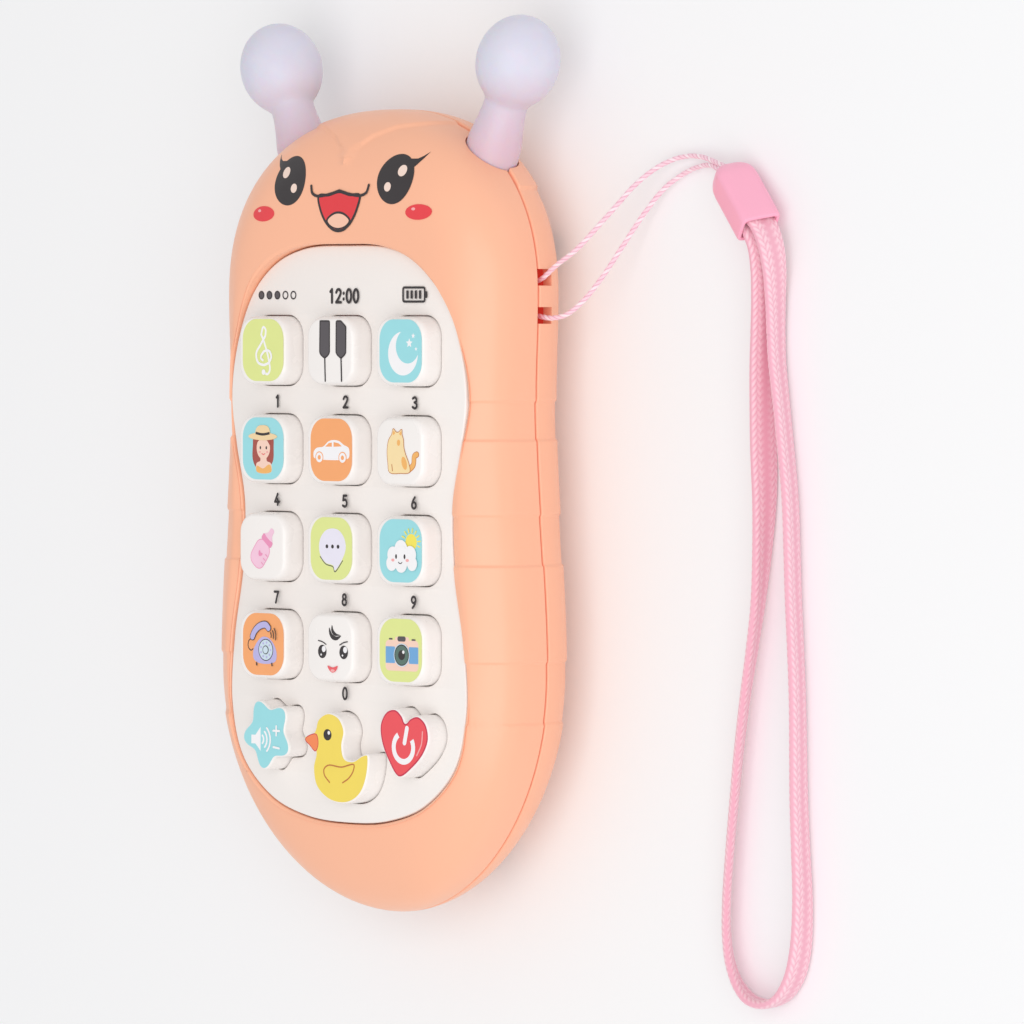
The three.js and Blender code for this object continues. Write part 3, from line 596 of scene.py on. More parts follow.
CLASP_PLACE = (
    Matrix.Translation((CLASP["x"], CLASP["y"], CLASP["z"]))
    @ Matrix.Rotation(math.radians(CLASP["heading"]), 4, "Z")
    @ Matrix.Rotation(-math.radians(CLASP["rise"]), 4, "Y")
    @ Matrix.Rotation(math.radians(CLASP["roll"] + 90), 4, "X")
)
# Inside the clasp, along its own axes: the cord goes in at the back, round the strap's fold and out.
CORD_TURN = [
    (-7.8, -0.2, -0.6), (-5.6, 0, -1), (-3.4, 0, -1.6), (-1.6, 0, -1.9), (-0.2, 0, -1.3),
    (0.3, 0, 0), (-0.2, 0, 1.3), (-1.6, 0, 1.9), (-3.4, 0, 1.6), (-5.6, 0, 1), (-7.8, 0.1, 0.6),
]
CORD_STRANDS = 3
CORD_TWIST = 1.3  # from one strand to the next, along the cord


def tube_frames(line):
    """Tangents and two steady side directions along a line, turned as little as possible."""
    tangents = np.gradient(line, axis=0)
    tangents /= np.linalg.norm(tangents, axis=1)[:, None]
    side = np.cross(tangents[0], (0, 0, 1))
    sides = []
    for tangent in tangents:
        side = side - tangent * (side @ tangent)
        side = side / np.linalg.norm(side)
        sides.append(side)
    sides = np.array(sides)
    return tangents, sides, np.cross(tangents, sides)


def make_cord():
    """One thin twisted cord: out of the upper slot, through the clasp and back to the lower slot."""
    turn = [tuple(CLASP_PLACE @ Vector(point)) for point in CORD_TURN]
    route = np.array(UPPER_CORD + turn + LOWER_CORD[::-1])
    line = smooth_line(route, per_span=24)
    length = path_lengths(line)[-1]
    step = 0.14
    line = resample(line, int(length / step))
    _, sides, others = tube_frames(line)
    around = 24
    angle = np.linspace(0, 2 * math.pi, around, endpoint=False)
    rings = []
    relief = []
    for i, centre in enumerate(line):
        turn_here = 2 * math.pi * i * step / CORD_TWIST / CORD_STRANDS
        lobe = np.abs(np.cos((angle - turn_here) * CORD_STRANDS / 2))
        radius = CORD_DIAMETER / 2 * (0.8 + 0.2 * lobe)
        rings.append(
            centre + radius[:, None] * (
                np.cos(angle)[:, None] * sides[i] + np.sin(angle)[:, None] * others[i]
            )
        )
        relief.append(lobe)
    points, faces = loft(rings)
    strand = []
    for i in range(len(line) - 1):
        turn_here = 2 * math.pi * i * step / CORD_TWIST / CORD_STRANDS
        share = (angle + math.pi / around - turn_here) * CORD_STRANDS / (2 * math.pi) + 0.5
        strand += (np.floor(share % CORD_STRANDS) > 0).astype(int).tolist()
    strand += [0, 0]
    cord = link("strap_cord", points, faces, [CORD_WHITE, CORD_PINK], "housing", strand)
    keep_relief(cord, np.concatenate(relief))
    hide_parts("strap_cord_upper", "strap_cord_lower")
    return cord, line


def keep_relief(piece, values):
    """Stores how far each point stands out, from 0 to 1, for the yarn's painted shade in its hollows."""
    attribute = piece.data.attributes.new("relief", "FLOAT", "POINT")
    attribute.data.foreach_set("value", np.asarray(values, np.float32))


# ---- wrist strap --------------------------------------------------------------------------

BRAID_COLUMNS = 6
BRAID_PITCH = 1.35
BRAID_RELIEF = 0.16
# The strap's two ends lie side by side in the clasp's mouth, along the clasp's own axes.
STRAP_ENDS = [[(1.6, 0.1, 1.0), (5.4, 0.2, 1.05)], [(5.4, -0.2, -1.05), (1.6, -0.1, -1.0)]]


def braid(across, along):
    """Height of a flat braid, 0 to 1, at a share of its width and a distance along it."""
    column = np.clip(np.floor(across * BRAID_COLUMNS), 0, BRAID_COLUMNS - 1)
    share = across * BRAID_COLUMNS - column
    slant = np.where(column % 2 == 0, 1, -1)
    phase = along / BRAID_PITCH + slant * (share - 0.5) * 0.9 + 0.5 * (column % 2)
    grain = (0.5 + 0.5 * np.cos(2 * math.pi * phase)) ** 0.6
    return grain * np.sin(math.pi * np.clip(share, 0, 1)) ** 0.5


def make_strap():
    first, last = ([tuple(CLASP_PLACE @ Vector(p)) for p in end] for end in STRAP_ENDS)
    route = np.array(first + STRAP_ROUTE + last)
    line = smooth_line(route, per_span=24)
    length = path_lengths(line)[-1]
    step = 0.3
    count = int(length / step)
    line = resample(line, count)
    shares, leans = zip(*STRAP_LEAN)
    lean = np.radians(np.interp(np.linspace(0, 1, count), shares, leans))
    ease = 30
    kernel = np.hanning(2 * ease + 1)
    lean = np.convolve(np.pad(lean, ease, mode="edge"), kernel / kernel.sum(), mode="valid")
    half_wide, half_thick = STRAP["wide"] / 2, STRAP["thick"] / 2 - BRAID_RELIEF
    tilt_height = half_wide * np.abs(np.sin(lean)) + half_thick * np.abs(np.cos(lean)) + BRAID_RELIEF
    lying = line[:, 2] < STRAP["wide"] / 2 + 0.3
    line[:, 2] = np.where(lying, tilt_height, line[:, 2])
    tangents = np.gradient(line, axis=0)
    tangents /= np.linalg.norm(tangents, axis=1)[:, None]
    width = np.column_stack([np.cos(lean), np.zeros(count), np.sin(lean)])
    width -= tangents * np.sum(width * tangents, axis=1)[:, None]
    width /= np.linalg.norm(width, axis=1)[:, None]
    normal = np.cross(tangents, width)
    around = 56
    angle = np.linspace(0, 2 * math.pi, around, endpoint=False)
    section_u = half_wide * np.sign(np.cos(angle)) * np.abs(np.cos(angle)) ** 0.55
    section_n = np.sign(np.sin(angle)) * np.abs(np.sin(angle)) ** 0.55
    rings = []
    relief = []
    for i in range(count):
        bump = braid(section_u / STRAP["wide"] + 0.5, i * step + np.where(section_n > 0, 0, 0.7))
        out = section_n * (half_thick + BRAID_RELIEF * bump)
        rings.append(line[i] + section_u[:, None] * width[i] + out[:, None] * normal[i])
        relief.append(bump)
    points, faces = loft(rings)
    strap = link("wrist_strap_braid", points, faces, [STRAP_YARN], "housing", crease=80)
    keep_relief(strap, np.concatenate(relief))
    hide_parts("wrist_strap")
    return strap, line


# ---- clasp --------------------------------------------------------------------------------


def superellipse(half_y, half_z, power, count=48):
    angle = np.linspace(0, 2 * math.pi, count, endpoint=False)
    y = half_y * np.sign(np.cos(angle)) * np.abs(np.cos(angle)) ** (2 / power)
    z = half_z * np.sign(np.sin(angle)) * np.abs(np.sin(angle)) ** (2 / power)
    return y, z


def make_clasp():
    """The moulded clasp: domed at the cord's end, square at its mouth, hollow for the strap."""
    back, mouth = -CLASP_SIZE["back"], CLASP_SIZE["front"]
    side, thick = CLASP_SIZE["wide"] / 2, CLASP_SIZE["thick"] / 2
    dome = 4.2
    rings = []

    def ring(x, half_y, half_z, power):
        y, z = superellipse(half_y, half_z, power)
        rings.append(np.column_stack([np.full(len(y), x), y, z]))

    for angle in range(6, 91, 7):
        open_share = math.sin(math.radians(angle))
        x = back + dome * (1 - math.cos(math.radians(angle)))
        half_thick = thick * (0.45 + 0.55 * open_share) * open_share**0.35
        ring(x, side * open_share**0.8, half_thick, 3 + 2 * open_share)
    ring(back + dome, side, thick, 5)
    for x in np.linspace(back + dome + 0.5, mouth - 0.6, 6):
        ring(x, side, thick, 5.5)
    lip = 0.5
    for angle in (30, 60, 90):
        inset = lip * (1 - math.cos(math.radians(angle)))
        ring(mouth - lip + lip * math.sin(math.radians(angle)), side - inset, thick - inset, 5.5)
    half_y, half_z = CLASP_MOUTH["wide"] / 2, CLASP_MOUTH["thick"] / 2
    inner_lip = 0.25
    for angle in (0, 45, 90):
        inset = inner_lip * (1 - math.sin(math.radians(angle)))
        depth = inner_lip * (1 - math.cos(math.radians(angle)))
        ring(mouth - depth, half_y + inset, half_z + inset, 8)
    for x in np.linspace(mouth - 1, mouth - CLASP_MOUTH["deep"], 5):
        ring(x, half_y, half_z, 8)
    points, faces = loft(rings)
    clasp = link("clasp_body", points, faces, [CLASP_PINK], None)
    way_y, way_z = superellipse(0.9, 1.62, 2.5, 24)
    way = [np.column_stack([np.full(len(way_y), x), way_y, way_z]) for x in (back - 1, 0)]
    carve(clasp, [loft(way)])
    clasp.data.transform(Matrix.Scale(MM, 4) @ CLASP_PLACE @ Matrix.Scale(1 / MM, 4))
    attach(clasp, "housing")
    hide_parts("strap_clasp")
    return clasp


cord, cord_line = make_cord()
strap, strap_line = make_strap()
clasp = make_clasp()

# ---- the body's form ----------------------------------------------------------------------


def rounded_end(t, power):
    return np.maximum(0, 1 - np.clip(t, 0, 1) ** power) ** (1 / power)


def fullness(y, top_power=TOP_ROUND):
    """How far the section has grown, from 0 at either end of the body to 1 between them."""
    top = rounded_end((y - HEAD_Y) / (TOP_Y - HEAD_Y), top_power)
    bottom = rounded_end((BELLY_Y - y) / (BELLY_Y - BOTTOM_Y), BOTTOM_ROUND)
    return np.where(y > HEAD_Y, top, bottom)


def side_profile(y):
    to_head = NECK_HALF + (HEAD_HALF - NECK_HALF) * smooth_step((y - NECK_Y) / (HEAD_Y - NECK_Y))
    to_belly = NECK_HALF + (BELLY_HALF - NECK_HALF) * smooth_step((NECK_Y - y) / (NECK_Y - BELLY_Y))
    return np.where(y > NECK_Y, to_head, to_belly)


def rise(x, y, form):
    """Height of a shell's skin above the parting plane."""
    half = np.maximum(side_profile(y) * fullness(y), 1e-9)
    across = np.clip(np.abs(x) / half, 0, 1)
    full = form["height"] * fullness(y, HEAD_RISE)
    up = full * np.maximum(0, 1 - across ** form["power"]) ** (1 / form["power"])
    return np.maximum(soft_minimum(up, form["crown"], form["soft"]), 0)


def front_skin(x, y):
    return PARTING_Z + rise(np.asarray(x, float), np.asarray(y, float), FRONT)


# The belly is ringed like a grub's: sunk bands between these heights.
SUNK_BANDS = [(5.3, 12.7), (-18.7, -9.1), (-49.0, -37.2)]
BAND_DEPTH = 0.35
BAND_EDGE = 0.7
# The head's cap ends on the brow in two arcs that meet in a point over the nose.
BROW = [(0, 58.3), (1.7, 61.2), (5.4, 63.7), (10.4, 65.4), (17, 66.1), (30, 66.4)]
BACK_CAP_Y = 53.6
CAP_HEIGHT = 0.45
CAP_EDGE = 0.5
# Beside the keypad the shell comes down nearly flush with the panel; over it the head stays proud.
RIM_PROUD = 0.45
RIM_EASE = 4.0
RIM_HEAD = (22.0, 38.0)
EDGE_ROUND = 0.4  # radius along the parting line


def skin_relief(x, y, form):
    """How far the skin stands out from its plain form: bands sunk, cap raised."""
    depth = np.zeros_like(y)
    for low, high in SUNK_BANDS:
        inside = smooth_step((y - low) / BAND_EDGE + 0.5) * smooth_step((high - y) / BAND_EDGE + 0.5)
        depth -= BAND_DEPTH * inside
    if form["side"] > 0:
        brow_x, brow_y = zip(*BROW)
        edge = np.interp(np.abs(x), brow_x, brow_y)
    else:
        edge = BACK_CAP_Y
    return depth + CAP_HEIGHT * smooth_step((y - edge) / CAP_EDGE + 0.5)


panel_left = [(-x, y) for x, y in PANEL_HALF[1:-1]]
panel_right = PANEL_HALF[1:-1][::-1]
panel_outline = smooth_line(
    panel_left + [PANEL_HALF[-1]] + panel_right + [PANEL_HALF[0]], closed=True, per_span=16,
)


def column_heights():
    """Places along the body from its bottom to its top, closer together where it has detail."""
    bottom = BELLY_Y - (BELLY_Y - BOTTOM_Y) * np.cos(np.radians(np.linspace(0, 90, 84)))
    top = HEAD_Y + (TOP_Y - HEAD_Y) * np.sin(np.radians(np.linspace(0, 90, 150)))
    middle = np.arange(BELLY_Y + 1, HEAD_Y, 1.0)
    edges = [y for band in SUNK_BANDS for y in band]
    fine = np.linspace(-0.7, 0.7, 9) * BAND_EDGE
    places = np.unique(np.concatenate([bottom, middle, top] + [y + fine for y in edges]))
    half = side_profile(places) * fullness(places)
    apart = np.hypot(np.diff(places), np.diff(half)) > 0.05
    return places[np.concatenate([[True], apart[:-1], [True]])]


def columns(inner_x, inner_low, inner_high):
    """Outer and inner ends of the lines that cross a shell's skin, all the way round."""
    y = column_heights()
    half = side_profile(y) * fullness(y)
    half[0] = half[-1] = 0
    outer = np.column_stack([half, y])
    inner_y = np.where(
        y < BELLY_Y,
        BELLY_Y + (y - BELLY_Y) * (BELLY_Y - inner_low) / (BELLY_Y - BOTTOM_Y),
        np.where(y > HEAD_Y, HEAD_Y + (y - HEAD_Y) * (inner_high - HEAD_Y) / (TOP_Y - HEAD_Y), y),
    )
    inner = np.column_stack([inner_x(inner_y), inner_y])
    mirror = np.array([-1, 1])
    outer = np.vstack([outer, outer[-2:0:-1] * mirror])
    inner = np.vstack([inner, inner[-2:0:-1] * mirror])
    return outer, inner


def skin_rows(outer, inner, form, rows):
    """A grid of points on the skin, evenly spaced from the parting line to the inner ends."""
    start = EDGE_ROUND  # along the skin, where the rounded parting edge ends
    share = np.linspace(0, 1, 500) ** 6  # finest by the parting line, where the skin is steepest
    rim = PANEL_TOP + RIM_PROUD - PARTING_Z
    grid = np.zeros((rows, len(outer), 3))
    for i, (a, b) in enumerate(zip(outer, inner)):
        flat = a + (b - a) * share[:, None]
        line = np.column_stack([flat, rise(flat[:, 0], flat[:, 1], form)])
        if form["side"] > 0:
            from_rim = np.linalg.norm(flat - b, axis=1)
            eased = 1 - smooth_step(from_rim / RIM_EASE)
            eased *= 1 - smooth_step((b[1] - RIM_HEAD[0]) / (RIM_HEAD[1] - RIM_HEAD[0]))
            line[:, 2] -= np.maximum(line[:, 2] - rim, 0) * eased
        lengths = path_lengths(line)
        wanted = np.linspace(start, lengths[-1], rows)
        for k in range(3):
            grid[:, i, k] = np.interp(wanted, lengths, line[:, k])
    return grid


def grid_normals(grid):
    """Outward unit normals of a closed grid of points."""
    around = np.roll(grid, -1, axis=1) - np.roll(grid, 1, axis=1)
    up = np.gradient(grid, axis=0)
    normals = np.cross(around, up)
    normals /= np.maximum(np.linalg.norm(normals, axis=2), 1e-12)[:, :, None]
    return normals


def parting_edge(outer, form):
    """Rows that round the shell's edge out of the parting plane, and follow the bands and the cap."""
    rows = []
    for angle in (0, 30, 60):
        inset = EDGE_ROUND * (1 - math.sin(math.radians(angle)))
        height = GAP / 2 + EDGE_ROUND * (1 - math.cos(math.radians(angle)))
        flat = grown(outer, -inset)
        out = skin_relief(flat[:, 0], flat[:, 1], form)
        rows.append(at_height(grown(flat, out[:, None]), height))
    return rows


def shell_grid(inner_x, inner_low, inner_high, form, rows):
    """The outside of a shell, with z counted up from the parting plane, and its normals."""
    outer, inner = columns(inner_x, inner_low, inner_high)
    grid = skin_rows(outer, inner, form, rows)
    normals = grid_normals(grid)
    out = skin_relief(grid[:, :, 0], grid[:, :, 1], form)
    return outer, grid + normals * out[:, :, None], normals


def from_parting(rings, form):
    """Heights above the parting plane as real heights, with the rings kept outwards."""
    rings = np.array(rings)
    rings[:, :, 2] = PARTING_Z + form["side"] * rings[:, :, 2]
    return rings if form["side"] > 0 else rings[:, ::-1]


def panel_half_width(y):
    right = panel_outline[panel_outline[:, 0] >= -1e-6]
    order = np.argsort(right[:, 1])
    x = np.interp(y, right[order, 1], right[order, 0])
    return np.where((y >= PANEL_HALF[0][1]) | (y <= PANEL_HALF[-1][1]), 0, x)


# ---- front shell --------------------------------------------------------------------------


def antenna_place(side):
    """The antenna's own axes: +Z along it, its origin at the mouth of its hole."""
    return (
        Matrix.Translation((side * ANTENNA["x"], ANTENNA["y"], PARTING_Z))
        @ Matrix.Rotation(-side * math.radians(ANTENNA["lean"]), 4, "Z")
        @ Matrix.Rotation(-math.pi / 2, 4, "X")
    )


def cylinder(radius, low, high, x=0.0, y=0.0, count=40):
    return solid_prism(ellipse(x, y, radius, count=count), low, high)


def antenna_holes():
    bore = cylinder(ANTENNA["radius"] + GAP, -6, 6)
    return [placed(bore, antenna_place(side)) for side in (-1, 1)]


def make_front_shell():
    rim_round = 0.8
    outer, skin, normals = shell_grid(
        panel_half_width, PANEL_HALF[-1][1], PANEL_HALF[0][1], FRONT, 100,
    )
    seat = skin[-1][:, :2]
    rows = parting_edge(outer, FRONT)
    keep = len(skin) - 3  # the last rows make way for the rounded rim
    rows += list(skin[:keep])
    edge_height = skin[-1][:, 2]
    for angle in (15, 40, 65, 90):
        reach = GAP + rim_round * (1 - math.sin(math.radians(angle)))
        drop = rim_round * (1 - math.cos(math.radians(angle)))
        rows.append(np.column_stack([grown(seat, reach), edge_height - drop * 0.7]))
    base = PANEL_BOTTOM - GAP - PARTING_Z
    rows.append(at_height(grown(seat, GAP), base))
    first_inside = len(rows)
    rows.append(at_height(grown(seat, -PANEL_LEDGE), base))
    rows.append(at_height(grown(seat, -PANEL_LEDGE), base - WALL))
    for r in range(keep - 12, 0, -8):
        lining = skin[r] - normals[r] * WALL
        lining[:, 2] = np.clip(lining[:, 2], 1.0, base - WALL)
        rows.append(lining)
    rows.append(at_height(grown(outer, -WALL), GAP / 2))
    points, faces = loft(from_parting(rows, FRONT), wrap=True)
    # Faces inside the shell get the lining, with its painted glow.
    painted_glow_faces = [int(face[0] // len(outer) >= first_inside) for face in faces]
    shell = link("front_shell_skin", points, faces, [PEACH, PEACH_PAINTED_GLOW], "housing", painted_glow_faces)
    carve(shell, antenna_holes())
    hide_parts("front_shell")
    return shell


# ---- back shell and what is on it ---------------------------------------------------------


def back_inner_half(y):
    """Half width of the flat that the back shell's skin closes on."""
    low, high, corner = BACK_FLAT["low"], BACK_FLAT["high"], BACK_FLAT["corner"]
    past = np.maximum(np.maximum(low + corner - y, y - high + corner), 0) / corner
    return BACK_FLAT["half"] - corner + corner * np.sqrt(np.maximum(0, 1 - past**2))


def slot_outline(half, width, y):
    return rounded_box(2 * half, width, width / 2 - 0.02, 0, y)


def block(x0, x1, y0, y1, low, high, corner=0.4):
    outline = rounded_box(x1 - x0, y1 - y0, corner, (x0 + x1) / 2, (y0 + y1) / 2, 5)
    return solid_prism(outline, low, high)


def make_back_shell():
    outer, skin, normals = shell_grid(
        back_inner_half, BACK_FLAT["low"], BACK_FLAT["high"], BACK, 64,
    )
    lip = at_height(grown(outer, -WALL), GAP / 2)
    lining = []
    for r in range(4, len(skin), 8):
        ring = skin[r] - normals[r] * WALL
        ring[:, 2] = np.clip(ring[:, 2], 1.0, BACK["crown"] - WALL)
        lining.append(ring)
    flat = skin[-1].copy()
    flat[:, 2] = BACK["crown"]
    inside = flat.copy()
    inside[:, 2] = BACK["crown"] - WALL
    rings = [inside, *lining[::-1], lip, *parting_edge(outer, BACK), *skin[:-1], flat]
    points, faces = loft(from_parting(rings, BACK))
    # Faces inside the shell get the lining, with its painted glow.
    painted_glow_faces = [int(max(face) // len(outer) <= len(lining)) for face in faces]
    shell = link("back_shell_skin", points, faces, [PEACH, PEACH_PAINTED_GLOW], "housing", painted_glow_faces)
    ledge = 2.0
    rim = DOOR["half"] + ledge
    joined = [block(-rim, rim, DOOR["low"] - ledge, DOOR["high"] + ledge, 1.2, 4)]
    wall = BAY["wall"]
    joined.append(block(
        -BAY["half"] - wall, BAY["half"] + wall, BAY["low"] - wall, BAY["high"] + wall,
        1.3, BAY["top"] + wall,
    ))
    for x, y in CASE_SCREWS:
        skin_z = PARTING_Z - float(rise(np.array(x, float), np.array(y, float), BACK))
        joined.append(cylinder(4.2, skin_z + 1.3, PARTING_Z - GAP / 2, x, y))
    joined.append(cylinder(6, 1.4, 12, 0, DOOR_SCREW_Y))
    carve(shell, joined, "UNION")
    door_gap = 0.25
    cuts = [
        block(-BAY["half"], BAY["half"], BAY["low"], BAY["high"], -1, BAY["top"]),
        block(
            -DOOR["half"] - door_gap, DOOR["half"] + door_gap, DOOR["low"] - door_gap,
            DOOR["high"] + door_gap, -1, DOOR["top"] + GAP, 1.6,
        ),
        cylinder(4.3, -1, 5.3, 0, DOOR_SCREW_Y), cylinder(1.6, -1, 11.2, 0, DOOR_SCREW_Y),
    ]
    for x, y in CASE_SCREWS:
        cuts += [cylinder(3.2, -1, CASE_SCREW_LEDGE, x, y), cylinder(1.6, -1, 20, x, y)]
    for y in STRAP_SLOTS:
        reach = STRAP_SLOT["wide"] / 2
        cuts.append(block(
            STRAP_SLOT["inside"], 60, y - reach, y + reach, STRAP_SLOT["bottom"], PARTING_Z + 1, 0.3,
        ))
    pitch, width, reach = 3.6, 1.8, 9.0
    for row in range(-2, 3):
        half = math.sqrt(reach**2 - (row * pitch) ** 2)
        cuts.append(solid_prism(slot_outline(half, width, SPEAKER_Y + row * pitch), -1, 3.2))
    carve(shell, cuts + antenna_holes())
    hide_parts("back_shell")
    return shell


def rounded_plate(outline, low, high, radius, steps=4):
    """Rings of a plate whose top and bottom edges are rounded, bottom first."""
    rings = []
    for i in range(steps + 1):
        angle = math.radians(90 * i / steps)
        inset = radius * (1 - math.sin(angle))
        rings.append(at_height(grown(outline, -inset), low + radius * (1 - math.cos(angle))))
    for i in range(steps + 1):
        angle = math.radians(90 * i / steps)
        inset = radius * (1 - math.cos(angle))
        rings.append(at_height(grown(outline, -inset), high - radius * (1 - math.sin(angle))))
    return rings


def make_door():
    """The battery door, its screw well and the grip ribs by the screw."""
    outline = rounded_box(
        2 * DOOR["half"], DOOR["high"] - DOOR["low"], 1.4, 0, (DOOR["high"] + DOOR["low"]) / 2,
    )
    points, faces = loft(rounded_plate(outline, DOOR["bottom"] - 0.35, DOOR["top"], 0.35))
    door = link("battery_door_plate", points, faces, [PEACH], "battery_door")
    well = cylinder(4, DOOR["top"] - 0.5, 5, 0, DOOR_SCREW_Y)
    carve(door, [well], "UNION")
    cuts = [cylinder(3, -1, 3.2, 0, DOOR_SCREW_Y), cylinder(1.7, -1, 6, 0, DOOR_SCREW_Y)]
    for row in range(5):
        y = DOOR["low"] + 11 + row * 1.8
        cuts.append(solid_prism(slot_outline(7 - row * 0.9, 0.8, y), -1, 0.45))
    carve(door, cuts)
    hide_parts("battery_door")


def screw_shape(head_radius, head_height, shank_radius, shank_length):
    """A pan-head screw, head down, its head's upper face at z = 0, with a coarse thread."""
    profile = [(0, -head_height)]
    for angle in range(15, 91, 15):
        share = math.radians(angle)
        profile.append((
            head_radius * (0.55 + 0.45 * math.sin(share)),
            -head_height + head_height * 0.7 * (1 - math.cos(share)),
        ))
    profile += [(head_radius, 0), (shank_radius, 0)]
    pitch = 0.9
    height = 0.3
    while height < shank_length:
        profile += [(shank_radius * 0.78, height), (shank_radius, height + pitch / 2)]
        height += pitch
    profile += [(shank_radius * 0.5, shank_length), (0, shank_length + 0.4)]
    return lathe(profile, 32)


def make_screw(name, node, body, size, place):
    points, faces = screw_shape(*size)
    screw = link(name, points, faces, [STEEL], None)
    head_height = size[1]
    cross = [
        block(-1.5, 1.5, -0.3, 0.3, -head_height - 1, -head_height + 1.1, 0.1),
        block(-0.3, 0.3, -1.5, 1.5, -head_height - 1, -head_height + 1.1, 0.1),
    ]
    carve(screw, cross)
    screw.data.transform(Matrix.Translation(Vector(place) * MM))
    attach(screw, body)
    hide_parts(node)


# ---- keypad -------------------------------------------------------------------------------


def star_outline(count=120):
    """A soft five-pointed star, its points and valleys rounded into one wave."""
    angle = np.linspace(0, 2 * math.pi, count, endpoint=False)
    middle = (STAR_KEY["tip"] + STAR_KEY["valley"]) / 2
    wave = (STAR_KEY["tip"] - STAR_KEY["valley"]) / 2
    radius = middle + wave * np.cos(5 * (angle - math.radians(STAR_KEY["turn"])))
    return np.column_stack([radius * np.cos(angle), radius * np.sin(angle)])


def heart_outline():
    half = [(3.7, -3.9), (6.3, -0.4), (7.0, 2.6), (5.7, 5.3), (3.2, 6.3), (1.1, 5.4)]
    left = [(-x, y) for x, y in half][::-1]
    return turned(blob([(0, -6.6), *half, (0, 4.3), *left]), HEART_KEY["turn"])


def duck_outline():
    return blob([
        (9.4, 0.9), (7.9, 0.8), (5.2, -0.4), (2.8, 0), (2.1, 2.2), (2.7, 5.2), (1.2, 7.7), (-2, 8.6),
        (-4.9, 7.2), (-6, 4.8), (-8.9, 3.6), (-7.6, 2), (-5.6, 0.9), (-6.3, -2.2), (-5.4, -5.8),
        (-1.6, -8.4), (3.7, -8.7), (7.3, -6.8), (9.2, -3.2),
    ])


KEY_NAMES = [
    ["music", "piano", "moon"], ["girl", "car", "cat"], ["bottle", "chat", "cloud"],
    ["telephone", "boy", "camera"],
]


def key_table():
    """Every key's name, place, outline and how its top edge is rounded, across and down."""
    square = rounded_box(KEY_WIDE, KEY_TALL, KEY_CORNER, per_corner=14)
    keys = []
    for names, y in zip(KEY_NAMES, KEY_ROWS):
        for column, name in enumerate(names):
            keys.append((name, (column - 1) * KEY_COLUMN, y, square, (0.95, 1.7)))
    keys.append(("star", STAR_KEY["x"], STAR_KEY["y"], star_outline(), (0.3, 0.5)))
    keys.append(("duck", DUCK_KEY["x"], DUCK_KEY["y"], duck_outline(), (0.3, 0.5)))
    keys.append(("heart", HEART_KEY["x"], HEART_KEY["y"], heart_outline(), (0.3, 0.5)))
    return keys


KEYS = key_table()


def make_key(name, x, y, outline, edge):
    across, down = edge
    flange_top = PANEL_BOTTOM - GAP
    rings = [
        at_height(grown(outline, KEY_FLANGE), KEY_BOTTOM), at_height(grown(outline, KEY_FLANGE), flange_top),
        at_height(outline, flange_top), at_height(outline, KEY_TOP - down - 0.5),
    ]
    for angle in range(0, 91, 10):
        share = math.radians(angle)
        inset = across * (1 - math.cos(share))
        rings.append(at_height(grown(outline, -inset), KEY_TOP - down * (1 - math.sin(share))))
    rings = np.array(rings)
    rings[:, :, :2] += (x, y)
    points, faces = loft(rings)
    key = link("key_cap_" + name, points, faces, [KEY_WHITE], "key_" + name)
    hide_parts("key_" + name)


def make_panel():
    """The keypad panel, with a rounded edge inside and a hole with rounded lips for each key."""
    edge = 0.35
    lip = 0.22
    outlines = [panel_outline] + [grown(outline, HOLE_GAP) + (x, y) for _, x, y, outline, _ in KEYS]
    points = []
    faces = []
    tops = []
    bottoms = []
    for number, outline in enumerate(outlines):
        out = 1 if number == 0 else -1
        radius = edge if number == 0 else lip
        rings = [at_height(outline, PANEL_BOTTOM), at_height(outline, PANEL_TOP - radius)]
        for angle in (30, 60, 90):
            share = math.radians(angle)
            inset = out * radius * (1 - math.cos(share))
            height = PANEL_TOP - radius * (1 - math.sin(share))
            rings.append(at_height(grown(outline, -inset), height))
        base = len(points)
        ring_points, ring_faces = loft(rings, cap_start=False, cap_end=False)
        size = len(outline)
        bottoms.append(list(range(base, base + size)))
        tops.append(list(range(base + len(ring_points) - size, base + len(ring_points))))
        for face in ring_faces:
            face = [base + i for i in face]
            faces.append(face if out > 0 else face[::-1])
        points += ring_points.tolist()
    for loops, flip in ((tops, False), (bottoms, True)):
        flat = [[Vector(points[i]) for i in loop] for loop in loops]
        order = [i for loop in loops for i in loop]
        for a, b, c in tessellate_polygon(flat):
            a, b, c = order[a], order[b], order[c]
            ab = np.array(points[b]) - points[a]
            ac = np.array(points[c]) - points[a]
            upwards = ab[0] * ac[1] - ab[1] * ac[0] > 0
            faces.append([a, b, c] if upwards != flip else [a, c, b])
    panel = link("keypad_plate", points, faces, [IVORY], "housing")
    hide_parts("keypad_panel")


# ---- printing -----------------------------------------------------------------------------


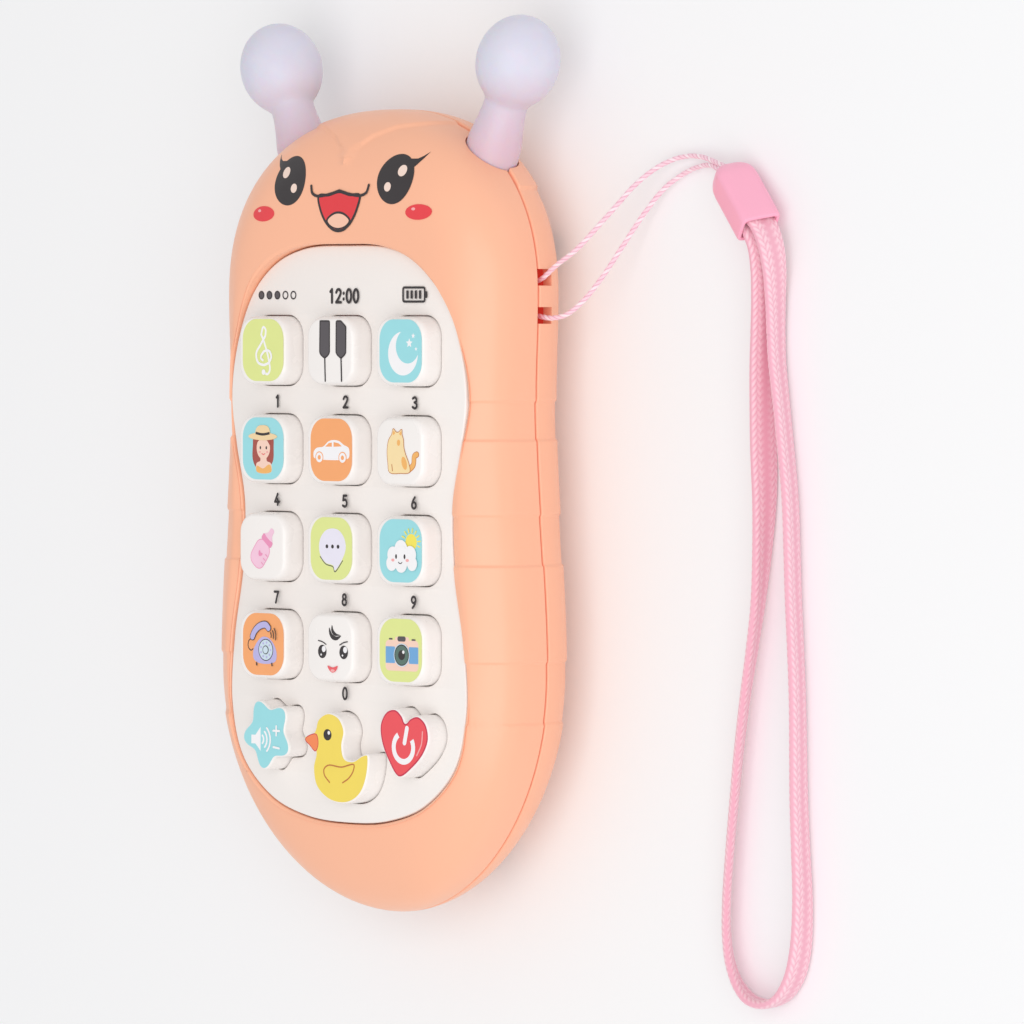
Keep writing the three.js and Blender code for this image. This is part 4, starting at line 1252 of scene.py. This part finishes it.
class Printing:
    """Thin films of ink on a surface, gathered into one piece with a material for each colour."""

    film = 0.03
    step = 0.008

    def __init__(self, surface, x=0.0, y=0.0, spacing=None):
        self.surface = surface
        self.shift = np.array([x, y])
        self.spacing = spacing
        self.points = []
        self.faces = []
        self.face_inks = []
        self.inks = []
        self.layers = 0

    def _add(self, flat, triangles, colour):
        """Closes a flat skin into a film on the surface."""
        self.layers += 1
        flat = np.asarray(flat, float) + self.shift
        ground = self.surface(flat[:, 0], flat[:, 1])
        lift = self.film + self.step * self.layers
        base = len(self.points)
        count = len(flat)
        self.points += np.column_stack([flat, ground + lift]).tolist()
        self.points += np.column_stack([flat, ground + lift - self.film * 0.8]).tolist()
        edges = {}
        faces = []
        for face in triangles:
            faces.append([base + i for i in face])
            faces.append([base + count + i for i in reversed(face)])
            for a, b in zip(face, list(face[1:]) + [face[0]]):
                edges[(a, b)] = True
        for a, b in edges:
            if (b, a) not in edges:
                faces.append([base + b, base + a, base + count + a, base + count + b])
        if colour not in self.inks:
            self.inks.append(colour)
        self.faces += faces
        self.face_inks += [self.inks.index(colour)] * len(faces)

    def patch(self, outline, colour):
        outline = np.asarray(outline, float)
        points = [Vector(p) for p in outline]
        loop = [(i, (i + 1) % len(points)) for i in range(len(points))]
        if self.spacing:
            low, high = outline.min(0), outline.max(0)
            for px in np.arange(low[0], high[0], self.spacing):
                for py in np.arange(low[1], high[1], self.spacing):
                    if inside(outline, px, py):
                        points.append(Vector((px, py)))
        flat, _, triangles, *_ = delaunay_2d_cdt(points, loop, [], 1, 1e-5)
        flat = np.array([tuple(p) for p in flat])
        turned_faces = []
        for a, b, c in triangles:
            ab, ac = flat[b] - flat[a], flat[c] - flat[a]
            turned_faces.append([a, b, c] if ab[0] * ac[1] - ab[1] * ac[0] > 0 else [a, c, b])
        self._add(flat, turned_faces, colour)

    def line(self, points, width, colour, closed=False, smooth=True, caps=True):
        points = np.asarray(points, float)
        path = smooth_line(points, closed, 8) if smooth else points
        if closed:
            path = np.vstack([path, path[:1]])
        length = path_lengths(path)[-1]
        path = resample(path, max(3, int(length / 0.25)))
        along = np.gradient(path, axis=0)
        if closed:
            along[0] = along[-1] = path[1] - path[-2]
        along /= np.linalg.norm(along, axis=1)[:, None]
        normal = np.column_stack([-along[:, 1], along[:, 0]]) * width / 2
        flat = np.vstack([path + normal, path - normal])
        count = len(path)
        quads = [[i, count + i, count + i + 1, i + 1] for i in range(count - 1)]
        self._add(flat, quads, colour)
        if caps and not closed:
            for end in (path[0], path[-1]):
                self.patch(ellipse(*end, width / 2, count=14), colour)

    def build(self, name, body):
        piece = link(
            name, self.points, self.faces, [ink(colour) for colour in self.inks], body, self.face_inks,
        )
        return piece


def inside(outline, x, y):
    """Whether a point lies well inside a closed outline."""
    x0, y0 = outline[:, 0], outline[:, 1]
    x1, y1 = np.roll(x0, -1), np.roll(y0, -1)
    crosses = (y0 > y) != (y1 > y)
    with np.errstate(divide="ignore", invalid="ignore"):
        at = x0 + (y - y0) * (x1 - x0) / (y1 - y0)
    clear = np.min(np.hypot(x0 - x, y0 - y)) > 0.25
    return bool(clear and np.count_nonzero(crosses & (x < at)) % 2)


TILE = rounded_box(11.9, 12.1, 3.9, per_corner=10)


def draw_music(pen):
    pen.patch(TILE, "lime")
    pen.line([(0.3, -4.4), (1.3, -4.7), (2.0, -3.9), (1.6, -1.6), (0.4, 1.4), (-0.5, 3.0)], 0.45, "white")
    pen.line([(-0.5, 3.0), (0.1, 4.5), (0.8, 4.0), (0.7, 2.7)], 0.45, "white")
    loop = [(0.7, 2.7), (-0.6, 1.1), (-1.9, -0.6), (-1.5, -2.3), (0.2, -2.9), (1.8, -2.5)]
    pen.line(loop, 0.5, "white")
    pen.line([(1.8, -2.5), (2.5, -1.3), (1.9, -0.2), (0.5, -0.2), (-0.4, -1.0)], 0.5, "white")
    pen.line([(-0.4, -1.0), (-0.5, -1.6), (0.1, -2.0)], 0.45, "white")
    pen.patch(ellipse(0.3, -4.3, 0.55), "white")


def draw_piano(pen):
    left = [
        (-3.2, 5.7), (-3.3, -0.4), (-2.9, -0.9), (-1.85, -1.5), (-0.9, -0.9), (-0.5, -0.4),
        (-0.5, 5.7),
    ]
    right = [
        (2.8, 5.7), (4.25, 4.6), (4.2, -0.4), (3.8, -0.9), (2.85, -1.5), (1.9, -0.9), (1.45, -0.4),
        (1.5, 5.7),
    ]
    for outline, x in ((left, -1.85), (right, 2.87)):
        ring = counter_clockwise(resample(np.array(outline + outline[:1]), 61)[:-1])
        pen.patch(ring, "grey")
        pen.line(ring, 0.3, "black", closed=True, smooth=False)
        pen.line([(x, -1.4), (x + 0.15, -5.9)], 0.34, "black")


def small_star(x, y, size):
    angle = np.radians(90 + 36 * np.arange(10))
    radius = np.where(np.arange(10) % 2, size * 0.45, size)
    return np.column_stack([x + radius * np.cos(angle), y + radius * np.sin(angle)])


def draw_moon(pen):
    pen.patch(TILE, "sky")
    pen.patch(ellipse(0.7, -0.5, 4.2, count=60), "white")
    pen.patch(ellipse(2.0, 0.9, 3.3, count=60), "sky")
    pen.patch(small_star(2.5, 1.5, 0.95), "white")
    pen.patch(small_star(3.6, 2.9, 0.55), "white")
    pen.patch(small_star(4.4, 0.4, 0.4), "white")


def draw_girl(pen):
    """A plain cartoon girl in a sun hat."""
    pen.patch(TILE, "sky")
    pen.patch(blob([
        (2.8, 2.3), (3.1, 0), (2.9, -2.4), (1.7, -3.6), (-1.9, -3.8), (-3, -2.2), (-3, 0.5), (-2.6, 2.4),
    ]), "auburn")
    pen.patch(blob([
        (0.9, -1.6), (1.1, -2.4), (2.3, -2.9), (2.4, -4.5), (-1.9, -4.5), (-1.9, -2.9), (-0.8, -2.4),
        (-0.7, -1.6),
    ]), "skin")
    pen.patch(blob([(1.7, -3.1), (2.3, -3.4), (2.4, -4.5), (-1.9, -4.5), (-1.8, -3.4), (0, -3.9)]), "ginger")
    pen.patch(ellipse(0.1, 0.1, 1.95, 2.2), "skin")
    fringe = [(-2, 1), (-1.4, 2.3), (0.4, 2.6), (1.9, 1.9), (2.1, 0.6), (1.1, 1.6), (-0.5, 1.9)]
    pen.patch(blob(fringe), "auburn")
    for x in (-0.75, 1.0):
        pen.patch(ellipse(x, 0.15, 0.2, 0.32), "black")
        pen.patch(ellipse(x * 1.25, -0.7, 0.3, 0.18), "blush")
    pen.line([(-0.3, -1), (0.15, -1.2), (0.6, -1)], 0.16, "coral")
    pen.patch(ellipse(0, 2.35, 4.2, 0.75), "straw")
    crown = [(2.1, 2.4), (2.0, 3.7), (1.3, 4.4), (-1.2, 4.4), (-2, 3.7), (-2.1, 2.4), (0, 2.1)]
    pen.patch(blob(crown), "straw")
    pen.line([(-2.05, 3.0), (0, 2.75), (2.05, 3.0)], 0.5, "black", caps=False)


def draw_car(pen):
    pen.patch(TILE, "orange")
    pen.patch(blob([
        (5.1, -1.4), (5.2, 0), (4.9, 0.5), (3.6, 1), (2.3, 1.7), (0.6, 1.9), (-0.8, 1.6), (-2.3, 0.6),
        (-4.2, 0.3), (-5, -0.4), (-5, -1.5), (-4.2, -1.8), (4.2, -1.8),
    ]), "white")
    pen.patch([(-1.7, 0.6), (0.2, 0.6), (0.2, 1.4), (-0.7, 1.3)], "orange")
    pen.patch([(0.7, 0.6), (3.1, 0.7), (2.1, 1.3), (0.7, 1.5)], "orange")
    for x in (-3.4, 3.3):
        pen.patch(ellipse(x, -1.5, 1.15), "orange")
        pen.patch(ellipse(x, -1.5, 0.95), "white")
        pen.patch(ellipse(x, -1.5, 0.45), "orange")


def draw_cat(pen):
    tail = [(2.2, -3.6), (3.6, -2.6), (3.9, -0.9), (4.6, -0.6)]
    pen.line(tail, 1.25, "brown")
    pen.line(tail, 1.0, "ginger")
    body = blob([
        (2.6, -3.9), (2.3, -2.3), (1.4, -0.6), (0.9, 0.8), (0.8, 2.2), (0.4, 3.2), (0.3, 4.1), (-0.5, 3.6),
        (-1.2, 3.6), (-2, 4.2), (-2.4, 3.2), (-3.3, 2), (-3.7, 0), (-3.5, -2.2), (-3.1, -4), (0, -4.2),
    ])
    pen.patch(grown(body, 0.14), "brown")
    pen.patch(body, "cream")
    pen.patch(ellipse(1.1, -2.3, 0.7, 1.3, 20), "ginger")
    pen.patch(ellipse(-0.5, 1.6, 0.45, 0.6), "ginger")
    pen.patch(blob([(0.2, 3.8), (-0.3, 3.3), (0.2, 3)]), "ginger")
    pen.patch(blob([(-1.9, 3.9), (-2.1, 3.1), (-1.5, 3.4)]), "ginger")
    pen.line([(-2.4, -2.6), (-2.2, -3.8)], 0.16, "brown")


def draw_bottle(pen):
    tilt = -38

    def place(points):
        return turned(points, tilt) + (-0.2, -0.6)

    pen.patch(place(rounded_box(4.4, 5.7, 1.7, 0, -1.1)), "rose")
    pen.line(place(rounded_box(4.3, 5.6, 1.7, 0, -1.1)), 0.14, "deep_rose", closed=True)
    pen.patch(place(rounded_box(3.4, 1.3, 0.4, 0, 2.2)), "deep_rose")
    teat = blob([(1.3, 2.9), (0.7, 3.7), (0.5, 4.9), (-0.5, 4.9), (-0.7, 3.7), (-1.3, 2.9)])
    pen.patch(place(teat), "rose")
    small_heart = blob([(0, -1.6), (0.6, -1), (0.5, -0.6), (0, -0.8), (-0.5, -0.6), (-0.6, -1)])
    pen.patch(place(small_heart), "deep_rose")
    for mark in (-2.2, -1.2, -0.2):
        pen.line(place([(1.3, mark), (1.9, mark)]), 0.14, "deep_rose")


def draw_chat(pen):
    pen.patch(TILE, "lime")
    pen.line([(-3.2, -1.6), (-1.6, -3.0), (0.6, -3.6), (1.0, -4.5), (3.3, -2.3)], 0.2, "grey")
    pen.patch(blob([
        (4.2, 0.3), (3.6, 2.3), (2.1, 3.6), (0.4, 3.9), (-1.5, 3.5), (-3, 2.1), (-3.5, 0.3), (-3, -1.5),
        (-1.5, -2.8), (0.6, -3.3), (1.0, -4.2), (3.2, -2),
    ]), "pale_lilac")
    for x in (-1.2, 0.4, 2.0):
        pen.patch(ellipse(x, 0.4, 0.38), "black")


def draw_cloud(pen):
    pen.patch(TILE, "sky")
    sun_x, sun_y = 3.0, 1.7
    pen.patch(ellipse(sun_x, sun_y, 1.6), "sun")
    for angle in range(-20, 160, 25):
        ray = [arc(sun_x, sun_y, radius, angle, angle, 1)[0] for radius in (1.9, 2.6)]
        pen.line(ray, 0.26, "sun", smooth=False)
    puffs = [
        (0.3, 0.3, 1.8), (-1.9, -0.8, 1.6), (2.9, -0.7, 1.7), (-2.3, -2.4, 1.5), (0.4, -2.5, 1.7),
        (3.5, -2.4, 1.4), (0.5, -1.3, 2.2),
    ]
    for x, y, radius in puffs:
        pen.patch(ellipse(x, y, radius), "white")
    for x in (-1.0, 1.4):
        pen.patch(ellipse(x, -1.1, 0.26, 0.46), "black")
        pen.patch(ellipse(x * 1.7 - 0.2, -1.8, 0.45, 0.28), "blush")
    pen.line([(-0.3, -2.2), (0.2, -2.5), (0.7, -2.2)], 0.16, "black")


def draw_telephone(pen):
    pen.patch(TILE, "orange")
    lead = [(-3.1, 1.1), (-4.2, 0.6), (-4.4, -0.6), (-3.6, -1.3), (-3.0, -1.0)]
    pen.line(lead, 0.22, "black")
    base = blob([
        (3.9, -1.6), (3.7, -3.1), (2.4, -3.7), (-1.6, -3.6), (-2.8, -2.8), (-2.8, -1.2), (-1.5, 0.6),
        (-0.2, 1.4), (1.4, 1.3), (3, 0.2),
    ])
    pen.patch(grown(base, 0.16), "black")
    pen.patch(base, "lavender")
    pen.patch(ellipse(0.8, -1.1, 2.15), "black")
    pen.patch(ellipse(0.8, -1.1, 1.98), "ice")
    for angle in range(0, 360, 40):
        x, y = 1.45 * math.cos(math.radians(angle)), 1.45 * math.sin(math.radians(angle))
        pen.patch(ellipse(0.8 + x, -1.1 + y, 0.22, count=12), "lavender")
    pen.patch(ellipse(0.8, -1.1, 0.85), "black")
    pen.patch(ellipse(0.8, -1.1, 0.7), "ice")
    handle = [(-3.0, 1.4), (-2.4, 2.4), (-0.9, 3.5), (0.9, 3.8), (1.7, 3.2)]
    pen.line(handle, 1.5, "black")
    pen.line(handle, 1.2, "lavender")
    for x in (-1.8, 2.7):
        pen.line([(x, -3.7), (x + 0.1, -4.1)], 0.3, "black")
    for radius in (1.0, 1.7, 2.4):
        pen.line(arc(1.6, 1.7, radius, -18, 38, 6), 0.22, "black")


def draw_boy(pen):
    """A plain cartoon face with a tuft of hair."""
    lower_lock = [(-0.6, 3.8), (-0.6, 2.6), (0.2, 1.6), (1.6, 1.4), (2.8, 2.3), (1.4, 2.1), (0.2, 2.6)]
    upper_lock = [(0.2, 4.3), (0, 3.2), (0.8, 2.3), (2.6, 2.4), (1.4, 2.7), (0.6, 3.4)]
    for lock in (lower_lock, upper_lock):
        pen.patch(blob(lock), "black")
    for x, side in ((-2.6, -1), (3.6, 1)):
        pen.patch(ellipse(x, -0.9, 1.2, 1.3), "black")
        pen.patch(ellipse(x + 0.45, -0.4, 0.55, 0.6), "white")
        pen.patch(ellipse(x - 0.3, -1.5, 0.2), "white")
        pen.line([(x + side * 1.1, 1.2), (x, 1.0), (x - side * 1.1, 0.5)], 0.22, "black")
    pen.patch(blob([(1.9, -3.6), (1.4, -4.5), (0.5, -4.9), (-0.4, -4.5), (-1.0, -3.6), (0.5, -3.9)]), "coral")
    pen.patch(ellipse(0.5, -4.5, 0.6, 0.25), "blush")


def draw_camera(pen):
    pen.patch(TILE, "lime")
    pen.patch(rounded_box(9.3, 5.9, 0.9, 0.4, -1.0), "skin")
    pen.patch(rounded_box(4.0, 1.4, 0.5, 0.4, 1.9), "skin")
    for x in (-2.9, 3.7):
        pen.patch(rounded_box(2.6, 3.2, 0.15, x, -0.9), "blue")
    pen.patch(rounded_box(2.3, 1.0, 0.45, 0.3, 2.2), "grey")
    pen.line([(-3.1, 2.15), (-2.4, 2.15)], 0.3, "grey")
    pen.line([(3.3, 2.1), (4.1, 2.1)], 0.3, "grey")
    pen.patch(ellipse(0.4, -0.9, 2.25), "ice")
    pen.patch(ellipse(0.4, -0.9, 2.05), "black")
    pen.patch(ellipse(0.4, -0.9, 1.85), "lens")
    pen.patch(ellipse(0.4, -0.9, 0.95), "black")
    pen.patch(ellipse(0.9, -0.3, 0.32), "white")


def draw_star(pen):
    pen.patch(grown(star_outline(), -0.3), "sky")
    pen.patch([(-3.4, -0.3), (-4.6, -0.3), (-4.6, -2.0), (-3.4, -2.0), (-1.9, -3.4), (-1.9, 1.3)], "white")
    for radius in (1.0, 2.0, 3.0):
        pen.line(arc(-2.0, -1.1, radius, -48, 48, 12), 0.42, "white")
    pen.line([(1.9, 0.7), (3.7, 0.7)], 0.42, "white")
    pen.line([(2.8, 1.6), (2.8, -0.2)], 0.42, "white")
    pen.line([(2.0, -2.5), (3.7, -2.7)], 0.42, "white")


def draw_duck(pen):
    pen.patch(grown(duck_outline(), -0.3), "yellow")
    beak = blob([(-5.4, 4.2), (-8.0, 3.6), (-8.4, 3.1), (-7.2, 2.2), (-5.6, 1.1), (-4.9, 2.4)])
    pen.patch(grown(beak, 0.16), "cherry")
    pen.patch(beak, "beak")
    pen.patch(ellipse(-2.1, 4.3, 1.15, 1.1), "black")
    pen.patch(ellipse(-1.7, 4.7, 0.36), "white")
    wing = [
        (-1.5, -4.9), (-3.0, -3.5), (-3.1, -2.4), (-1.9, -1.6), (1.9, -1.8), (5.5, -1.2), (5.3, -2.4),
        (4.1, -3.8), (2.3, -4.8),
    ]
    pen.line(wing, 0.26, "brown")


def draw_heart(pen):
    pen.patch(grown(heart_outline(), -0.3), "cherry")
    pen.patch(grown(heart_outline(), -0.6), "heart")
    pen.line(arc(0.2, -0.6, 2.75, 122, 392, 40), 1.1, "white", caps=False)
    pen.line([(0.5, 0.3), (1.2, 3.1)], 1.0, "white")
    pen.line([(5.6, 2.6), (5.3, 0.2), (4.0, -2.0)], 0.28, "blush")


def print_keys():
    drawings = {
        "music": draw_music, "piano": draw_piano, "moon": draw_moon, "girl": draw_girl,
        "car": draw_car, "cat": draw_cat, "bottle": draw_bottle, "chat": draw_chat,
        "cloud": draw_cloud, "telephone": draw_telephone, "boy": draw_boy, "camera": draw_camera,
        "star": draw_star, "duck": draw_duck, "heart": draw_heart,
    }
    for name, x, y, _, _ in KEYS:
        shift = (0, 0) if name in ("star", "duck", "heart") else TILE_SHIFT
        pen = Printing(lambda px, py: np.full(len(px), KEY_TOP), x + shift[0], y + shift[1])
        drawings[name](pen)
        pen.build("key_print_" + name, "key_" + name)


def print_face():
    """The bug's face on the head: eyes, blushes and an open smile."""
    pen = Printing(front_skin, spacing=0.8)
    for side in (-1, 1):
        def place(points, side=side):
            points = np.asarray(points, float) * (side, 1) + (side * 15.1, 55.4)
            return points if side > 0 else points[::-1]

        pen.patch(place(ellipse(0, 0, 4.7, 4.85, -12, 60)), "black")
        lash = [
            (3.9, 2.0), (4.9, 3.0), (5.7, 4.0), (6.4, 5.2), (5.4, 4.4), (4.4, 3.9), (3.0, 3.9),
            (2.2, 3.4),
        ]
        pen.patch(place(lash), "black")
        pen.patch(place(ellipse(1.6, 1.6, 1.1, 1.1)), "glint")
        pen.patch(place(ellipse(-1.6, -1.5, 0.9, 0.9)), "glint")
        pen.patch(ellipse(side * 22.3, 49.0, 3.4, 1.5), "cheek")
        pen.patch(ellipse(side * 22.3 - 1.3, 49.6, 0.5, 0.28), "blush")
    mouth = blob([
        (3, 52.5), (0, 53.1), (-3, 52.5), (-5.9, 52.3), (-5.3, 49.8), (-3.6, 47.2), (-1.6, 45.8),
        (0, 45.5), (1.6, 45.8), (3.6, 47.2), (5.3, 49.8), (5.9, 52.3),
    ])
    pen.patch(grown(mouth, 0.25), "black")
    pen.patch(grown(mouth, -0.3), "red")
    pen.patch(blob([
        (3.5, 47.6), (1.9, 48.9), (0, 49.3), (-1.9, 48.9), (-3.5, 47.6), (-2.4, 46.5), (0, 45.8),
        (2.4, 46.5),
    ]), "black")
    pen.patch(blob([
        (3.0, 47.5), (1.7, 48.5), (0, 48.85), (-1.7, 48.5), (-3.0, 47.5), (-2.1, 46.6), (0, 46.1),
        (2.1, 46.6),
    ]), "tongue")
    smile = [(-8.3, 54.3), (-7.8, 52.9), (-6.2, 52.3), (-3, 52.6), (0, 53.3)]
    pen.line(smile, 0.55, "black")
    pen.line([(-x, y) for x, y in smile], 0.55, "black")
    pen.build("face_print", "housing")


# Each figure as strokes in a box one unit tall about its middle: a point list, or a closed ring.
FIGURES = {
    "0": [ellipse(0, 0, 0.24, 0.46)],
    "1": [[(-0.13, 0.3), (0.04, 0.46)], [(0.04, 0.46), (0.04, -0.46)]],
    "2": [
        [(-0.24, 0.24), (-0.12, 0.43), (0.1, 0.44), (0.23, 0.27), (0.14, 0.02), (-0.24, -0.45)],
        [(-0.24, -0.45), (0.26, -0.45)],
    ],
    "3": [
        [(-0.22, 0.36), (0, 0.46), (0.2, 0.34), (0.18, 0.12), (-0.02, 0.04)],
        [(-0.02, 0.04), (0.22, -0.08), (0.24, -0.32), (0.02, -0.46), (-0.23, -0.34)],
    ],
    "4": [[(0.08, 0.46), (-0.26, -0.2)], [(-0.26, -0.2), (0.28, -0.2)], [(0.1, 0.02), (0.1, -0.46)]],
    "5": [
        [(0.2, 0.45), (-0.16, 0.45)], [(-0.16, 0.45), (-0.2, 0.06)],
        [(-0.2, 0.06), (0.06, 0.12), (0.24, -0.08), (0.2, -0.36), (-0.02, -0.46), (-0.23, -0.36)],
    ],
    "6": [[(0.12, 0.46), (-0.1, 0.2), (-0.23, -0.1)], ellipse(0, -0.2, 0.24, 0.26)],
    "7": [[(-0.24, 0.44), (0.24, 0.44)], [(0.24, 0.44), (0.05, -0.05), (-0.06, -0.46)]],
    "8": [ellipse(0, 0.24, 0.19, 0.21), ellipse(0, -0.21, 0.24, 0.25)],
    "9": [ellipse(0, 0.2, 0.24, 0.26), [(0.23, 0.1), (0.1, -0.2), (-0.12, -0.46)]],
    ":": [[(0, 0.2), (0, 0.16)], [(0, -0.2), (0, -0.24)]],
}
FIGURE_STEP = 0.74
COLON_STEP = 0.56


def print_panel():
    """The status row, and a number under each square key of the top three rows with a 0 under the middle of
    the last.
    """
    pen = Printing(lambda x, y: np.full(len(x), PANEL_TOP))

    def write(words, x, y, height, stroke):
        steps = [(COLON_STEP if ":" in pair else FIGURE_STEP) for pair in zip(words, words[1:])]
        places = np.concatenate([[0], np.cumsum(steps)])
        for figure, place in zip(words, places - places[-1] / 2):
            for points in FIGURES[figure]:
                ring = isinstance(points, np.ndarray)
                pen.line((np.array(points) + (place, 0)) * height + (x, y), stroke, "black", closed=ring)

    row = KEY_ROWS[0] + 10.8
    for i in range(5):
        x = -24.8 + 2.35 * i
        if i < 3:
            pen.patch(ellipse(x, row, 0.85), "grey")
        pen.line(ellipse(x, row, 0.72), 0.26, "black", closed=True)
    write("12:00", -0.7, row - 0.15, 2.75, 0.55)
    pen.line(rounded_box(6.1, 2.7, 0.3, 19.4, row + 0.1), 0.42, "black", closed=True, smooth=False)
    pen.patch(rounded_box(0.6, 1.3, 0.2, 22.9, row + 0.1), "black")
    for i in range(4):
        pen.patch(rounded_box(0.62, 1.6, 0.1, 17.6 + 1.2 * i, row + 0.1), "black")
    number = 1
    for y in KEY_ROWS[:3]:
        for column in (-1, 0, 1):
            write(str(number), column * KEY_COLUMN, y - 9.9, 2.35, 0.48)
            number += 1
    write("0", 0.2, KEY_ROWS[3] - 9.0, 2.4, 0.48)
    pen.build("panel_print", "housing")


# ---- antennae -----------------------------------------------------------------------------


def antenna_profile():
    """Radius along the antenna, from its flange inside the shells to the top of its ball."""
    radius, neck, ball, tall = (ANTENNA[size] for size in ("radius", "neck", "ball", "tall"))
    centre = ANTENNA_LENGTH - tall
    flange = [(0, -6.8), (5.6, -6.8), (5.9, -6.5), (5.9, -5.6), (4.7, -5.3), (4.6, -3.7), (radius, -2.7)]
    stem = [(radius, -2.7), (radius, 0), (5.25, 2.0), (4.9, 4.0), (4.5, 6.4), (neck + 0.05, 8.6)]
    start = -52
    joint = (ball * math.cos(math.radians(start)), centre + tall * math.sin(math.radians(start)))
    stem += [(neck + 0.1, 9.9), joint]
    smooth_stem = smooth_line(stem, per_span=6)
    dome = [
        (ball * math.cos(math.radians(a)), centre + tall * math.sin(math.radians(a)))
        for a in range(start + 4, 90, 4)
    ]
    return flange[:-1] + [tuple(p) for p in smooth_stem] + dome + [(0, ANTENNA_LENGTH)]


def make_antenna(side):
    word = "left" if side < 0 else "right"
    points, faces = placed(lathe(antenna_profile(), 64), antenna_place(side))
    antenna = link("antenna_silicone_" + word, points, faces, [SILICONE], None, crease=40)
    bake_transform(antenna)
    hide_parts("antenna_" + word, f"antenna_{word}_root")


# ---- assembly -----------------------------------------------------------------------------

make_front_shell()
make_back_shell()
make_panel()
for key in KEYS:
    make_key(*key)
print_keys()
print_face()
print_panel()
for side in (-1, 1):
    make_antenna(side)
make_door()
for number, (x, y) in enumerate(CASE_SCREWS, 1):
    name = f"case_screw_{number}"
    make_screw(name + "_steel", name, "housing", CASE_SCREW, (x, y, CASE_SCREW_LEDGE - GAP))
make_screw(
    "door_screw_steel", "battery_door_screw", "battery_door", DOOR_SCREW, (0, DOOR_SCREW_Y, 2.9),
)

INNER_MATERIALS = {
    "key_mat": rubbery("mat_rubber", linear(141, 144, 148)), "circuit_board": laminate(),
    "sound_chip": rubbery("potting_resin", linear(42, 42, 44)),
    "speaker_basket": metal("speaker_steel", linear(150, 152, 156)), "speaker_cone": paper_cone(),
    "contact_spring_1": STEEL, "contact_spring_2": STEEL, "contact_bridge": BRASS,
    "contact_positive": BRASS, "contact_negative": BRASS,
}
sleeve = cell_sleeve()
INNER_MATERIALS.update({f"battery_{i}": sleeve for i in (1, 2)})
INNER_MATERIALS.update({f"board_screw_{i}": STEEL for i in range(1, 5)})
for colour, shade in (("red", linear(181, 47, 44)), ("black", linear(42, 42, 44))):
    insulation = rubbery("insulation_" + colour, shade)
    INNER_MATERIALS.update({f"{owner}_lead_{colour}": insulation for owner in ("battery", "speaker")})
for node, material in INNER_MATERIALS.items():
    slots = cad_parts[node].data.materials
    slots.clear()
    slots.append(material)

# ---- stage --------------------------------------------------------------------------------


def make_stage():
    half = 3000
    points = [(-half, -half, -0.05), (half, -half, -0.05), (half, half, -0.05), (-half, half, -0.05)]
    floor = link("floor", points, [(0, 1, 2, 3)], [white_floor()], None)


def make_light(name, place, size, power):
    """A square soft light, in metres, aimed at the middle of the phone."""
    data = bpy.data.lights.new(name, "AREA")
    data.shape = "SQUARE"
    data.size = size
    data.energy = power
    light = bpy.data.objects.new(name, data)
    bpy.context.scene.collection.objects.link(light)
    light.location = place
    light.rotation_mode = "QUATERNION"
    light.rotation_quaternion = Vector(place).to_track_quat("Z", "Y")


make_stage()
make_light("key_light", (0.85, -0.2, 1.1), 1.6, 11.5)
world = bpy.data.worlds.new("studio")
world.use_nodes = True
world.node_tree.nodes["Background"].inputs["Color"].default_value = (1, 1, 1, 1)
world.node_tree.nodes["Background"].inputs["Strength"].default_value = 0.66
bpy.context.scene.world = world
bpy.context.scene.view_settings.view_transform = "Standard"
